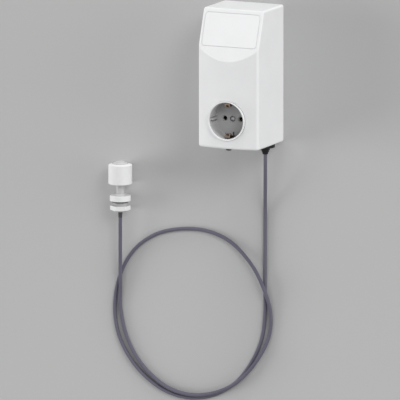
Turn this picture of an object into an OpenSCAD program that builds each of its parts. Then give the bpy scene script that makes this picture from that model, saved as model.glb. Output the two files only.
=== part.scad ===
// Plug-in float alarm unit: a mains plug, a switched earthed socket and a float switch on a lead.
// Frame: +X right, +Y up the case, +Z out of the front. The origin lies midway between
// the two mains pins, on the end face of the plug boss. The case's back, the lead and the
// float switch all lie on one plane, the wall or surface round the mains outlet.

/* [Case] */
// Width of the case
case_w = 71.8; // [70:0.2:80]
// Height of the case
case_h = 151; // [148:1:165]
// Depth of the case, from its back to the crown of the bowed front
case_depth = 70; // [68:0.5:80]
// How far the bowed front stands out at its middle
bow_rise = 5; // [4.5:0.5:7]
// Radius of the two long front corners
corner_r = 4; // [3.5:0.5:8]
// Radius of the other outer edges
edge_r = 2.5; // [2:0.5:3.5]
// Wall of the hood
wall = 2.5; // [2:0.1:3]
// Height above the case's bottom where the slope starts, at the case's corners
slope_foot = 110; // [105:1:113]
// How far the slope goes back by the top
slope_back = 14.4; // [12:0.2:17]
// Thickness of the rear plate
plate_t = 3; // [2.5:0.1:4]

/* [Label place] */
// Width of the bare label plate
label_w = 64.4; // [50:0.2:65]
// Length of the label plate along the slope
label_l = 36.8; // [25:0.2:38]
// Distance of the label plate from the top edge of the slope
label_top_gap = 5; // [4:0.1:8]
// Thickness of the label plate
label_t = 0.5; // [0.4:0.05:0.8]
// Corner radius of the label plate
label_r = 3.5; // [2:0.5:5]

/* [Mains plug] */
// Height of the plug and socket axis above the case's bottom
axis_rise = 31; // [30:0.5:34]
// Diameter of the plug boss
plug_d = 37.8; // [36:0.1:39]
// Length of the plug boss behind the case's back
plug_l = 17.5; // [16:0.5:18]
// Distance between the two pins
pin_pitch = 19; // [18:0.5:20]
// Diameter of the pins
pin_d = 4.8; // [4:0.1:5]
// Length of the pins beyond the plug boss
pin_l = 19; // [17:0.5:20]
// Width of the earthing strips and of the socket's earthing springs
earth_w = 6.4; // [5:0.2:7]

/* [Socket] */
// Diameter of the socket recess
recess_d = 39.5; // [39:0.1:40.5]
// Depth of the socket recess
recess_depth = 17.5; // [16:0.5:18]
// Wall of the socket cup
cup_wall = 1.2; // [1.2:0.05:1.6]
// How far the socket rim stands out beyond the crown
rim_proud = 1.1; // [0.5:0.1:2]
// Wall of the hood's collar round the cup
collar_wall = 0.7; // [0.7:0.1:1.2]
// Thickness of the rim's inner lip
lip_t = 1.6; // [1.2:0.1:2]
// Diameter of the pin holes in the recess floor
pin_hole_d = 5.6; // [5.3:0.1:6]
// Thickness of the recess floor
floor_t = 3; // [2.5:0.1:4]

/* [Alarm button] */
// Diameter of the mute button
button_d = 6.2; // [5:0.1:7]
// How far the mute button stands out of the case's bottom
button_proud = 2; // [1:0.1:3]
// Travel of the mute button
button_travel = 0.8; // [0.4:0.1:1]

/* [Cable gland] */
// Distance of the gland from the case's right side
gland_side = 11.9; // [11:0.1:13.5]
// Distance of the gland from the case's back
gland_out = 20.9; // [16:0.1:24]
// Diameter of the gland's flange
gland_flange_d = 21; // [18:0.5:22]
// Thickness of the gland's flange
gland_flange_t = 3.8; // [3:0.1:5]
// Length of the bend relief below the flange
relief_l = 7.4; // [6:0.1:8]
// Diameter of the lead
cord_d = 4; // [3.6:0.1:4.2]

/* [Circuit board] */
// Width of the circuit board
board_w = 48; // [44:1:50]
// Room between the circuit board and the top of the case
board_top_gap = 14; // [10:0.5:16]
// Thickness of the circuit board
board_t = 1.6; // [1.2:0.1:2]
// Distance of the circuit board from the rear plate
board_rise = 7.7; // [6:0.1:10]
// Height of the transformer
transformer_h = 22; // [16:1:30]
// Height of the relay
relay_h = 15; // [10:1:20]

/* [Float switch] */
// Diameter of the float
float_d = 26; // [22:0.5:28]
// Height of the float's straight wall
float_h = 21.3; // [18:0.1:24]
// Height of the cone on top of the float and its cap
cone_h = 3.8; // [3.2:0.1:5]
// Diameter of the guide stem
stem_d = 8.6; // [7.5:0.1:9]
// Travel of the float along its stem
float_travel = 10; // [6:0.5:16]
// Diameter of the mounting flange
flange_d = 22.8; // [20:0.2:26]
// Thickness of the mounting flange
flange_t = 6.2; // [5:0.1:8]
// Diameter of the mounting thread
thread_d = 16; // [14:0.5:17]
// Length of the mounting thread
thread_l = 11.6; // [10:0.2:16]
// Thickness of the flange gasket
gasket_t = 1.5; // [1:0.1:2]
// Room between gasket and nut for the wall that they clamp
clamp_gap = 3.6; // [1:0.1:4]
// Thickness of the lock nut
nut_t = 5; // [4:0.1:6]
// Width of the lock nut across its flats
nut_af = 19.4; // [19:0.1:24]

/* [Hidden] */

$fn = 48;
cut = 1;           // how far a cutter runs past the face that it opens
far = 300;         // longer than any part of the case
run_gap = 0.3;     // clearance between pieces that move apart
seat_gap = 0.2;    // clearance round a piece that drops into its seat
thread_gap = 0.05; // clearance round a screw or pin in its hole

// ---- Places that follow from the case ----
half_w = case_w / 2;
bottom_y = -axis_rise;
top_y = bottom_y + case_h;
back_z = plug_l;
plate_z = back_z + plate_t;
crown_z = back_z + case_depth;
corner_z = crown_z - bow_rise;
bow_r = (half_w * half_w + bow_rise * bow_rise) / (2 * bow_rise);
bow_z = crown_z - bow_r;
foot_y = bottom_y + slope_foot;
slope_a = atan(slope_back / (top_y - foot_y));
slope_l = slope_back / sin(slope_a);
inner_edge_r = 1;
inner_bottom_y = bottom_y + wall;

// ---- Case screws, their bosses and the socket's posts ----
screw_d = 3;
screw_head_d = 5.8;
screw_head_t = 1.6;
case_screw_l = 11;
case_screw_depth = 14;
boss_r = 4;
boss_x = half_w - 5.5;
post_r = 3.5;
post_xy = 19;
post_screw_l = 10;
boss_above_post = 9;
boss_below_top = 6;
boss_ys = [post_xy + boss_above_post, top_y - boss_below_top];

// ---- Cross recess of every screw, as shares of its head ----
cross_l = 0.66;
cross_w = 0.12;

// ---- Socket ----
cup_r = recess_d / 2 + cup_wall;
collar_bore_r = cup_r + seat_gap;
collar_r = collar_bore_r + collar_wall;
rim_z = crown_z + rim_proud;
lip_z = rim_z - lip_t;
floor_z = rim_z - recess_depth;
floor_back_z = floor_z - floor_t;
base_depth = 15.1;
base_z = floor_back_z - base_depth;
base_flange_t = 3;
base_flange_rim = 4;                 // how far the flange runs past the posts' middles
base_flange_w = 2 * (post_xy + base_flange_rim);
sleeve_bore_r = pin_d / 2 + 0.05;
sleeve_r = sleeve_bore_r + 0.85;
sleeve_z = base_z - 2;
rib_w = 5;
rib_in = 1.6;
rib_z = rim_z - 5;
socket_screw_head_r = 3;
socket_screw_head_t = 1.2;
socket_screw_l = 9;

// ---- Earthing springs, drawn at the top of the recess and mirrored to its bottom ----
clip_t = 0.8;
clip_foot_y = recess_d / 2 - 1.15;   // inner face of the spring's straight foot
clip_bulge_y = clip_foot_y - 2.5;    // inner face where it presses on the plug
clip_top_z = rim_z - 3;
clip_slot_y = clip_foot_y - 0.5;
clip_slot_w = earth_w + 2 * seat_gap + 1;
clip_notch_y = clip_bulge_y - 1.5;   // notch in the recess floor before each spring's foot
clip_notch_w = 4.2;

// ---- Plug ----
plug_flange_t = 2;
plug_flange_z = plate_z + plug_flange_t;
plug_flange_r = plug_d / 2 + 4.1;
plug_screw_d = 2.2;
plug_screw_x = plug_d / 2 + 2.3;
plug_screw_l = 4;
pin_in_l = 6.5;                      // length of each pin inside the plate
pin_in_z = plate_z + pin_in_l;
pin_collar_t = 1.5;
pin_tower_r = 4.6;
boss_core_r = plug_d / 2 - 3.4;
boss_face_t = 3;
strip_t = 0.8;
strip_y = plug_d / 2 - 1.2;          // inner face of each earthing strip
strip_end_z = plate_z + 3.5;
bar_t = 1.2;
bar_w = 2 * sleeve_r;

// ---- Circuit board ----
board_z = plate_z + board_rise;
board_top_z = board_z + board_t;
board_clear = 10.9;                  // room between the socket and the board
board_y = cup_r + board_clear;
board_l = top_y - board_top_gap - board_y;
board_hole_x = board_w / 2 - 3.5;
board_hole_ys = [board_y + 3.5, board_y + board_l - 3.5];
board_post_r = 3;
board_screw_d = 2.5;
board_screw_head_d = 5;
board_screw_l = 6;
live_leg_y = board_y + 4.2;

// ---- Parts on the board: sizes, and places from the middle of its lower edge ----
relay_w = 16;
relay_l = 20;
relay_at = [8.5, 22];
core_w = 26;
core_l = 14;
winding_w = 16;
winding_l = 22;
winding_t = 2;                       // how far the core stands out over the winding
transformer_at = [-9.5, 43];
capacitor_r = 5;
capacitor_h = 18;
capacitor_at = [-15, 17];
fuse_r = 2.6;
fuse_l = 20;
fuse_clip_l = 3;
fuse_rise = 1;
fuse_at = [-4.4, 21];
terminal_w = 8;
terminal_l = 16;
terminal_h = 10;
terminal_pitch = 5;
terminal_hole_r = 1.6;
terminal_hole_l = 6;
terminal_at = [board_w / 2 - terminal_w / 2 - 1, 40];
buzzer_r = 5.5;
buzzer_h = 8;
buzzer_hole_r = 1.2;
buzzer_below_edge = 6.6;
buzzer_at = [9.2, board_l - buzzer_below_edge];

// ---- Mute button and its switch ----
button_z = crown_z - wall - button_d / 2 - 1.1;
button_flange_d = button_d + 1;
button_flange_t = 0.8;
switch_pad_y = -(collar_r + 0.5);    // the pad under the cup ends just below the collar
switch_h = 2.6;
switch_w = 6;
switch_y = switch_pad_y - switch_h;
button_in_y = switch_y - button_travel - run_gap;

// ---- Cable gland ----
gland_x = half_w - gland_side;
gland_z = back_z + gland_out;
gland_neck_r = 5.6;
gland_nut_t = 3.5;
gland_nut_af = 14;
relief_tip_r = cord_d / 2 + 0.9;
relief_root_r = cord_d / 2 + 4;
cord_bore_r = cord_d / 2 + 0.15;
gland_tip = gland_flange_t + relief_l;

// ---- Float switch, drawn up its own axis from the underside of the flange ----
sensor_x = -154;
sensor_seat_y = -108;
sensor_rise = 13;
sensor_z = back_z + sensor_rise;
stem_r = stem_d / 2;
stem_in_l = 6;                        // how far the stem goes into the thread
foot_cone_h = 2;
float_low = flange_t + foot_cone_h + float_travel + 0.5;
float_shoulder = float_low + float_h;
cap_r = 8;
cap_gap = 0.8;                       // ring left open between the cap and the float
cap_rim_t = 1.5;
cap_top_r = 3;
cap_top = float_shoulder + cone_h;
cap_edge = float_shoulder + cone_h * (float_d / 2 - cap_r - cap_gap) / (float_d / 2 - cap_top_r);
cap_low = cap_edge - cap_rim_t;
float_seat = cap_low - run_gap;
float_bore_r = stem_r + 0.4;
magnet_in_r = float_bore_r + 0.3;
magnet_r = magnet_in_r + 2.2;
magnet_h = 6;
stem_bore_r = cord_d / 2 + 0.2;
stem_tip_l = 5;
reed_r = 1.4;
reed_l = 16;
reed_top = cap_low - 5;
gasket_d = thread_d + 2.2;
nut_high = -(gasket_t + clamp_gap);
nut_r = nut_af / 2 / cos(30);
nut_turn = 25;                       // turn of the nut's corners about the thread

// ---- Route of the lead: chosen points on its centre line ----
cord_sides = 8;
cord_steps = 2;
cord_route = [
    [24, -26, 38.4], [24, -44, 38.4], [22.9, -62, 36], [19.2, -84, 28.1], [15.8, -105, 21],
    [15, -126, 19.5], [15, -160, 19.5], [15, -194, 19.5], [15, -222, 19.5], [11, -251, 19.5],
    [-2, -279, 19.5], [-22, -303, 19.5], [-50, -318.5, 19.5], [-81, -322.5, 19.5],
    [-112, -314, 19.5], [-141, -292, 19.5], [-160, -262, 19.5], [-166, -229, 19.5],
    [-160, -194, 19.5], [-143, -164, 19.5], [-117, -144.5, 19.5], [-86, -136, 19.5],
    [-54, -136, 19.5], [-25, -146.5, 20], [0, -168.5, 22.5], [15, -193, 23.8],
    [22, -220, 20.5], [19.5, -248, 19.7], [5, -277, 22.6], [-18, -301, 23.8],
    [-46, -314.5, 23.6], [-76, -318.3, 22.6], [-106, -311, 20.4], [-133, -290.5, 19.5],
    [-151, -262, 19.5], [-159, -230, 19.5], [-158.2, -206, 21.6], [-156.8, -184, 24.8],
    [-155, -160, 28.6], [-154.1, -138, 30.4], [-154, -116, 30.5]
];

function unit(v) = v / norm(v);

// Point at t on the smooth curve between p[i] and p[i + 1]
function curve_point(p, i, t) =
    let (
        a = p[max(i - 1, 0)],
        b = p[i],
        c = p[i + 1],
        d = p[min(i + 2, len(p) - 1)]
    )
    0.5 * (2 * b + (c - a) * t + (2 * a - 5 * b + 4 * c - d) * t * t
        + (3 * b - a - 3 * c + d) * t * t * t);

function smooth_path(p, steps) = [
    for (i = [0:len(p) - 2]) for (k = [0:steps - 1]) curve_point(p, i, k / steps),
    p[len(p) - 1]
];

// Ring of points square to the path at its point i
function ring_at(path, i, r, sides) =
    let (
        ahead = unit(path[min(i + 1, len(path) - 1)] - path[max(i - 1, 0)]),
        side = unit(cross(ahead, [0, 0, 1])),
        up = cross(side, ahead)
    )
    [for (k = [0:sides - 1]) path[i] + r * (cos(360 * k / sides) * side + sin(360 * k / sides) * up)];

// A round tube swept along a path, closed at both ends
module swept_tube(path, r, sides) {
    rings = len(path);
    points = [for (i = [0:rings - 1]) each ring_at(path, i, r, sides)];
    walls = [
        for (i = [0:rings - 2]) for (k = [0:sides - 1])
            let (n = (k + 1) % sides, a = i * sides + k, b = i * sides + n)
            each [[a, a + sides, b], [b, a + sides, b + sides]]
    ];
    last = (rings - 1) * sides;
    caps = [for (k = [1:sides - 2]) each [[0, k, k + 1], [last, last + k + 1, last + k]]];
    polyhedron(points = points, faces = concat(walls, caps), convexity = 10);
}

// A ball whose poles and equator reach exactly to its radius
module ball(r) {
    sides = 16;
    sphere(r / cos(180 / sides), $fn = sides);
}

// Rounded rectangle, centred, from true arcs
module rounded_rect(w, h, r) {
    square([w - 2 * r, h], center = true);
    square([w, h - 2 * r], center = true);
    for (x = [-1, 1], y = [-1, 1])
        translate([x * (w / 2 - r), y * (h / 2 - r)]) circle(r);
}

// ---- Case ----

// Plan of the case seen from its top, drawn in by inset: bowed front and rounded corners
module case_plan(inset) {
    corner_x = half_w - corner_r;
    corner_y = bow_z + sqrt(pow(bow_r - corner_r, 2) - corner_x * corner_x);
    turn = atan2(corner_y - bow_z, corner_x);
    round_r = max(corner_r - inset, 0.05);
    corner_steps = 5;
    bow_steps = 16;
    right = [for (k = [0:corner_steps - 1])
        [corner_x, corner_y] + round_r * [cos(turn * k / corner_steps), sin(turn * k / corner_steps)]];
    front = [for (k = [0:bow_steps])
        let (a = turn + (180 - 2 * turn) * k / bow_steps)
        [(bow_r - inset) * cos(a), bow_z + (bow_r - inset) * sin(a)]];
    left = [for (k = [corner_steps - 1:-1:0]) [-right[k][0], right[k][1]]];
    behind = back_z - 2 * wall;
    polygon(concat([[inset - half_w, behind], [half_w - inset, behind]], right, front, left));
}

// Case shape drawn in by inset, with its edges rounded by round_r
module case_form(inset, round_r) {
    core = inset + round_r;
    minkowski() {
        intersection() {
            translate([0, top_y - core, 0])
                rotate([90, 0, 0])
                    linear_extrude(height = case_h - 2 * core) case_plan(core);
            translate([0, foot_y, corner_z])
                rotate([-slope_a, 0, 0])
                    translate([-far / 2, -far, -far - core]) cube([far, 2 * far, far]);
        }
        ball(round_r);
    }
}

module at_slope_middle() {
    translate([0, foot_y, corner_z])
        rotate([-slope_a, 0, 0])
            translate([0, slope_l - label_top_gap - label_l / 2, 0]) children();
}

module at_case_screws() {
    for (x = [-boss_x, boss_x], y = boss_ys) translate([x, y, 0]) children();
}

module at_plug_screws() {
    for (x = [-plug_screw_x, plug_screw_x]) translate([x, 0, 0]) children();
}

module at_socket_posts() {
    for (x = [-post_xy, post_xy], y = [-post_xy, post_xy]) translate([x, y, 0]) children();
}

module at_board_screws() {
    for (x = [-board_hole_x, board_hole_x], y = board_hole_ys) translate([x, y, 0]) children();
}

// Down and out of the case's bottom at the gland
module at_gland() {
    translate([gland_x, bottom_y, gland_z]) rotate([90, 0, 0]) children();
}

// Down and out of the case's bottom at the mute button
module at_button(y) {
    translate([0, y, button_z]) rotate([90, 0, 0]) children();
}

// Up the axis of the float switch, from the underside of its flange
module at_sensor() {
    translate([sensor_x, sensor_seat_y, sensor_z]) rotate([-90, 0, 0]) children();
}

module housing_hood() {
    color([0.93, 0.93, 0.93])
    difference() {
        union() {
            case_form(0, edge_r);
            translate([0, 0, corner_z - 1]) cylinder(r = collar_r - 0.4, h = rim_z - corner_z + 1, $fn = 96);
            translate([0, 0, corner_z - 1]) cylinder(r = collar_r, h = rim_z - corner_z + 0.6, $fn = 96);
        }
        difference() {
            case_form(wall, inner_edge_r);
            at_case_screws() translate([0, 0, plate_z]) cylinder(r = boss_r, h = case_depth);
            translate([0, 0, corner_z - wall])
                cylinder(r = collar_r, h = bow_rise + wall, $fn = 96);
        }
        // the mouth, cut flat at the case's back
        translate([-far / 2, -far / 2, back_z - far]) cube([far, far, far]);
        // seat of the socket cup, and the opening of the recess
        translate([0, 0, floor_z]) cylinder(r = collar_bore_r, h = lip_z - floor_z, $fn = 96);
        translate([0, 0, floor_z]) cylinder(r = recess_d / 2, h = recess_depth + cut, $fn = 96);
        // seat of the label plate
        at_slope_middle() translate([0, 0, -label_t])
            linear_extrude(height = label_t + cut)
                rounded_rect(label_w + 2 * run_gap, label_l + 2 * run_gap, label_r + run_gap);
        // holes for the gland, the mute button and the case screws
        at_gland() translate([0, 0, -wall - cut])
            cylinder(r = gland_neck_r + seat_gap, h = wall + 2 * cut);
        at_button(bottom_y) translate([0, 0, -wall - cut])
            cylinder(r = button_d / 2 + run_gap, h = wall + 2 * cut);
        at_case_screws() translate([0, 0, plate_z - cut])
            cylinder(r = screw_d / 2 + thread_gap, h = case_screw_depth + cut);
    }
}

module label_plate() {
    color([0.95, 0.95, 0.95])
    at_slope_middle() translate([0, 0, -label_t])
        linear_extrude(height = label_t) rounded_rect(label_w, label_l, label_r);
}

module rear_plate() {
    plate_w = case_w - 2 * wall - 2 * seat_gap;
    plate_h = case_h - 2 * wall - 2 * seat_gap;
    color([0.88, 0.88, 0.88])
    difference() {
        union() {
            translate([-plate_w / 2, inner_bottom_y + seat_gap, back_z])
                cube([plate_w, plate_h, plate_t]);
            at_socket_posts() translate([0, 0, back_z]) cylinder(r = post_r, h = base_z - back_z);
            at_board_screws() translate([0, 0, back_z]) cylinder(r = board_post_r, h = board_z - back_z);
        }
        // the plug's body passes through the plate
        translate([0, 0, back_z - cut])
            cylinder(r = plug_d / 2 + seat_gap, h = plate_t + 2 * cut, $fn = 96);
        at_plug_screws() translate([0, 0, plug_flange_z - plug_screw_l - 0.3])
            cylinder(r = plug_screw_d / 2 + thread_gap, h = plug_screw_l);
        at_case_screws() {
            translate([0, 0, back_z - cut]) cylinder(r = screw_d / 2 + seat_gap, h = plate_t + 2 * cut);
            translate([0, 0, back_z - cut]) cylinder(r = screw_head_d / 2 + seat_gap, h = screw_head_t + cut);
        }
        at_socket_posts() translate([0, 0, base_z - post_screw_l])
            cylinder(r = screw_d / 2 + thread_gap, h = post_screw_l + cut);
        at_board_screws() translate([0, 0, board_z - board_screw_l])
            cylinder(r = board_screw_d / 2 + thread_gap, h = board_screw_l + cut);
    }
}

// Pan-head screw: head above z = 0, shank below, with a cross recess
module pan_screw(d, head_d, head_t, l) {
    difference() {
        union() {
            cylinder(r = head_d / 2, h = head_t);
            translate([0, 0, -l]) cylinder(r = d / 2, h = l + head_t / 2);
        }
        for (a = [0, 90]) rotate([0, 0, a]) translate([0, 0, head_t])
            cube([cross_l * head_d, cross_w * head_d, head_t], center = true);
    }
}

module case_screws() {
    color([0.7, 0.7, 0.72])
    at_case_screws() translate([0, 0, back_z + screw_head_t]) rotate([180, 0, 0])
        pan_screw(screw_d, screw_head_d, screw_head_t, case_screw_l);
}

// ---- Mains plug ----

// Body that enters the mains outlet: cored from inside, with a tower round each pin
module plug_body() {
    color([0.9, 0.9, 0.9])
    difference() {
        union() {
            cylinder(r = plug_d / 2, h = plug_flange_z, $fn = 96);
            translate([0, 0, plate_z]) cylinder(r = plug_flange_r, h = plug_flange_t, $fn = 96);
        }
        difference() {
            translate([0, 0, boss_face_t]) cylinder(r = boss_core_r, h = plug_flange_z, $fn = 96);
            for (x = [-1, 1]) translate([x * pin_pitch / 2, 0, 0])
                cylinder(r = pin_tower_r, h = plug_flange_z);
        }
        for (x = [-1, 1]) {
            translate([x * pin_pitch / 2, 0, -cut])
                cylinder(r = pin_d / 2 + thread_gap, h = plug_flange_z + 2 * cut);
            // guide groove that clears the outlet's side rib
            translate([x * plug_d / 2 - rib_in - 0.3, -rib_w / 2 - 0.4, -cut])
                cube([2 * (rib_in + 0.3), rib_w + 0.8, back_z - 2]);
        }
        at_plug_screws() translate([0, 0, plate_z - cut])
            cylinder(r = plug_screw_d / 2 + seat_gap, h = plug_flange_t + 2 * cut);
        // groove of each earthing strip, and its slot through the flange
        for (y = [-1, 1]) scale([1, y, 1]) {
            translate([-earth_w / 2 - thread_gap, strip_y, boss_face_t / 2])
                cube([earth_w + 2 * thread_gap, strip_t + 2, back_z - boss_face_t / 2]);
            translate([-earth_w / 2 - thread_gap, strip_y, back_z - cut])
                cube([earth_w + 2 * thread_gap, strip_t + thread_gap, plug_flange_z]);
        }
    }
}

module plug_screws() {
    color([0.7, 0.7, 0.72])
    at_plug_screws() translate([0, 0, plug_flange_z])
        pan_screw(plug_screw_d, 2 * plug_screw_d, 1.2, plug_screw_l);
}

module plug_pin(side) {
    tip = 0.8;
    color([0.78, 0.78, 0.8])
    translate([side * pin_pitch / 2, 0, 0]) {
        translate([0, 0, tip - pin_l]) cylinder(r = pin_d / 2, h = pin_in_z + pin_l - tip);
        translate([0, 0, -pin_l]) cylinder(r1 = pin_d / 2 - tip, r2 = pin_d / 2, h = tip);
        translate([0, 0, plug_flange_z]) cylinder(r = pin_d / 2 + 1, h = pin_collar_t);
    }
}

module plug_earth_strips() {
    color([0.8, 0.66, 0.4])
    for (y = [-1, 1]) scale([1, y, 1])
        translate([-earth_w / 2, strip_y, boss_face_t / 2])
            cube([earth_w, strip_t, strip_end_z - boss_face_t / 2]);
}

// Joins the plug's earthing strips to the feet of the socket's earthing springs
module earth_bar() {
    reach = clip_foot_y + clip_t;
    color([0.8, 0.66, 0.4]) {
        translate([-earth_w / 2, -reach, strip_end_z]) cube([earth_w, 2 * reach, bar_t]);
        for (y = [-1, 1]) scale([1, y, 1])
            translate([-earth_w / 2, clip_foot_y, strip_end_z])
                cube([earth_w, clip_t, floor_back_z - run_gap - strip_end_z]);
    }
}

module neutral_bar() {
    color([0.8, 0.5, 0.35])
    translate([-pin_pitch / 2 - bar_w / 2, -bar_t / 2, pin_in_z])
        cube([bar_w, bar_t, sleeve_z - pin_in_z]);
}

module live_feed_bar() {
    color([0.8, 0.5, 0.35])
    translate([pin_pitch / 2 - bar_w / 2, -bar_w / 2, board_z - bar_t])
        cube([bar_w, live_leg_y + bar_t + bar_w / 2, bar_t]);
}

module switched_live_bar() {
    color([0.8, 0.5, 0.35])
    translate([pin_pitch / 2 - bar_w / 2, 0, 0]) {
        translate([0, live_leg_y, board_top_z]) cube([bar_w, bar_t, sleeve_z - board_top_z]);
        translate([0, -bar_w / 2, sleeve_z - bar_t])
            cube([bar_w, live_leg_y + bar_t + bar_w / 2, bar_t]);
    }
}

// ---- Socket ----

// Slots for the earthing bar, and windows that the earthing springs move in
module earth_cuts() {
    for (y = [-1, 1]) scale([1, y, 1]) {
        translate([-clip_slot_w / 2, clip_slot_y, base_z - cut])
            cube([clip_slot_w, clip_t + 1, floor_t + base_depth + 2 * cut]);
        translate([-clip_slot_w / 2, clip_slot_y, floor_back_z - cut])
            cube([clip_slot_w, cup_r, clip_top_z + 0.6 - floor_back_z + cut]);
    }
}

// Cup that takes the plug: wall, floor and the ribs that guide it
module socket_cup() {
    color([0.55, 0.55, 0.56])
    difference() {
        union() {
            translate([0, 0, floor_back_z]) cylinder(r = cup_r, h = lip_z - floor_back_z, $fn = 96);
            // pad under the cup that carries the mute switch
            translate([-switch_w / 2 - 0.5, switch_pad_y, button_z - switch_w / 2 - 1])
                cube([switch_w + 1, 4, corner_z - wall - run_gap - button_z + switch_w / 2 + 1]);
        }
        difference() {
            translate([0, 0, floor_z]) cylinder(r = recess_d / 2, h = recess_depth, $fn = 96);
            for (x = [-1, 1]) translate([x * recess_d / 2 - rib_in, -rib_w / 2, floor_z])
                cube([2 * rib_in, rib_w, rib_z - floor_z]);
        }
        for (x = [-1, 1]) translate([x * pin_pitch / 2, 0, floor_back_z - cut])
            cylinder(r = pin_hole_d / 2, h = floor_t + 2 * cut);
        // seat and hole of the centre screw
        translate([0, 0, floor_z - socket_screw_head_t])
            cylinder(r = socket_screw_head_r + seat_gap, h = socket_screw_head_t + cut);
        translate([0, 0, floor_back_z - cut]) cylinder(r = screw_d / 2 + thread_gap, h = floor_t);
        earth_cuts();
        for (y = [-1, 1]) scale([1, y, 1])
            translate([-clip_notch_w / 2, clip_notch_y, floor_back_z - cut])
                cube([clip_notch_w, clip_slot_y - clip_notch_y + cut, floor_t + 2 * cut]);
    }
}

// Block behind the cup that holds the contacts and stands on the posts
module contact_base() {
    color([0.35, 0.35, 0.36])
    difference() {
        union() {
            translate([0, 0, base_z]) cylinder(r = cup_r, h = base_depth, $fn = 96);
            translate([0, 0, base_z]) linear_extrude(height = base_flange_t)
                rounded_rect(base_flange_w, base_flange_w, 4);
        }
        for (x = [-1, 1]) translate([x * pin_pitch / 2, 0, base_z - cut])
            cylinder(r = sleeve_r + thread_gap, h = base_depth + 2 * cut);
        translate([0, 0, base_z + base_flange_t])
            cylinder(r = screw_d / 2 + thread_gap, h = base_depth);
        at_socket_posts() translate([0, 0, base_z - cut])
            cylinder(r = screw_d / 2 + seat_gap, h = base_flange_t + 2 * cut);
        earth_cuts();
    }
}

module socket_screw() {
    color([0.75, 0.75, 0.78])
    translate([0, 0, floor_z - socket_screw_head_t])
        pan_screw(screw_d, 2 * socket_screw_head_r, socket_screw_head_t, socket_screw_l);
}

module socket_fixing_screws() {
    color([0.7, 0.7, 0.72])
    at_socket_posts() translate([0, 0, base_z + base_flange_t])
        pan_screw(screw_d, screw_head_d, screw_head_t, post_screw_l);
}

module contact_sleeve(side) {
    color([0.82, 0.68, 0.4])
    translate([side * pin_pitch / 2, 0, sleeve_z])
        difference() {
            cylinder(r = sleeve_r, h = floor_back_z - sleeve_z);
            translate([0, 0, bar_t]) cylinder(r = sleeve_bore_r, h = floor_back_z - sleeve_z);
        }
}

// Earthing spring at the top of the recess, its foot in the recess floor
module earth_clip() {
    face = [
        [clip_foot_y, floor_back_z],
        [clip_foot_y, floor_z + 3],
        [clip_bulge_y, clip_top_z - 5.6],
        [clip_bulge_y, clip_top_z - 4],
        [clip_foot_y - 0.6, clip_top_z]
    ];
    last = len(face) - 1;
    color([0.72, 0.45, 0.3])
    translate([-earth_w / 2, 0, 0])
        rotate([90, 0, 90])
            linear_extrude(height = earth_w)
                polygon(concat(face, [for (i = [last:-1:0]) face[i] + [clip_t, 0]]));
}

module earth_clip_upper() {
    earth_clip();
}

module earth_clip_lower() {
    scale([1, -1, 1]) earth_clip();
}

// ---- Electronics ----

module circuit_board() {
    color([0.1, 0.4, 0.22])
    difference() {
        translate([-board_w / 2, board_y, board_z]) cube([board_w, board_l, board_t]);
        at_board_screws() translate([0, 0, board_z - cut])
            cylinder(r = board_screw_d / 2 + seat_gap, h = board_t + 2 * cut);
    }
}

module board_screws() {
    color([0.7, 0.7, 0.72])
    at_board_screws() translate([0, 0, board_top_z])
        pan_screw(board_screw_d, board_screw_head_d, screw_head_t, board_screw_l);
}

// Places on the board's face, from the middle of its lower edge
module on_board(place) {
    translate([place.x, board_y + place.y, board_top_z]) children();
}

module relay() {
    color([0.15, 0.2, 0.5])
    on_board(relay_at) translate([-relay_w / 2, -relay_l / 2, 0]) cube([relay_w, relay_l, relay_h]);
}

module transformer() {
    color([0.25, 0.25, 0.27])
    on_board(transformer_at) {
        translate([-core_w / 2, -core_l / 2, 0]) cube([core_w, core_l, transformer_h]);
        translate([-winding_w / 2, -winding_l / 2, winding_t])
            cube([winding_w, winding_l, transformer_h - 2 * winding_t]);
    }
}

module capacitor() {
    color([0.15, 0.15, 0.2])
    on_board(capacitor_at) cylinder(r = capacitor_r, h = capacitor_h);
}

module fuse() {
    color([0.8, 0.8, 0.75])
    on_board(fuse_at) {
        translate([0, -fuse_l / 2, fuse_r + fuse_rise])
            rotate([-90, 0, 0]) cylinder(r = fuse_r, h = fuse_l);
        for (y = [fuse_clip_l - fuse_l, fuse_l - fuse_clip_l] / 2)
            translate([-fuse_r, y - fuse_clip_l / 2, 0])
                cube([2 * fuse_r, fuse_clip_l, fuse_r + fuse_rise]);
    }
}

module terminal_block() {
    color([0.2, 0.5, 0.3])
    on_board(terminal_at)
        difference() {
            translate([-terminal_w / 2, -terminal_l / 2, 0]) cube([terminal_w, terminal_l, terminal_h]);
            for (i = [-1:1]) translate([0, i * terminal_pitch, terminal_h - terminal_hole_l])
                cylinder(r = terminal_hole_r, h = terminal_hole_l + cut);
        }
}

module buzzer() {
    color([0.1, 0.1, 0.1])
    on_board(buzzer_at)
        difference() {
            cylinder(r = buzzer_r, h = buzzer_h);
            translate([0, 0, buzzer_h / 2]) cylinder(r = buzzer_hole_r, h = buzzer_h);
        }
}

module mute_switch() {
    color([0.2, 0.2, 0.2])
    translate([-switch_w / 2, switch_y, button_z - switch_w / 2])
        cube([switch_w, switch_h, switch_w]);
}

module mute_button() {
    color([0.08, 0.08, 0.09]) {
        at_button(bottom_y + wall + run_gap)
            cylinder(r = button_d / 2, h = wall + run_gap + button_proud);
        at_button(bottom_y + wall + run_gap + button_flange_t)
            cylinder(r = button_flange_d / 2, h = button_flange_t);
        at_button(button_in_y)
            cylinder(r = 1.2, h = button_in_y - inner_bottom_y - run_gap);
    }
}

// ---- Cable gland ----

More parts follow.
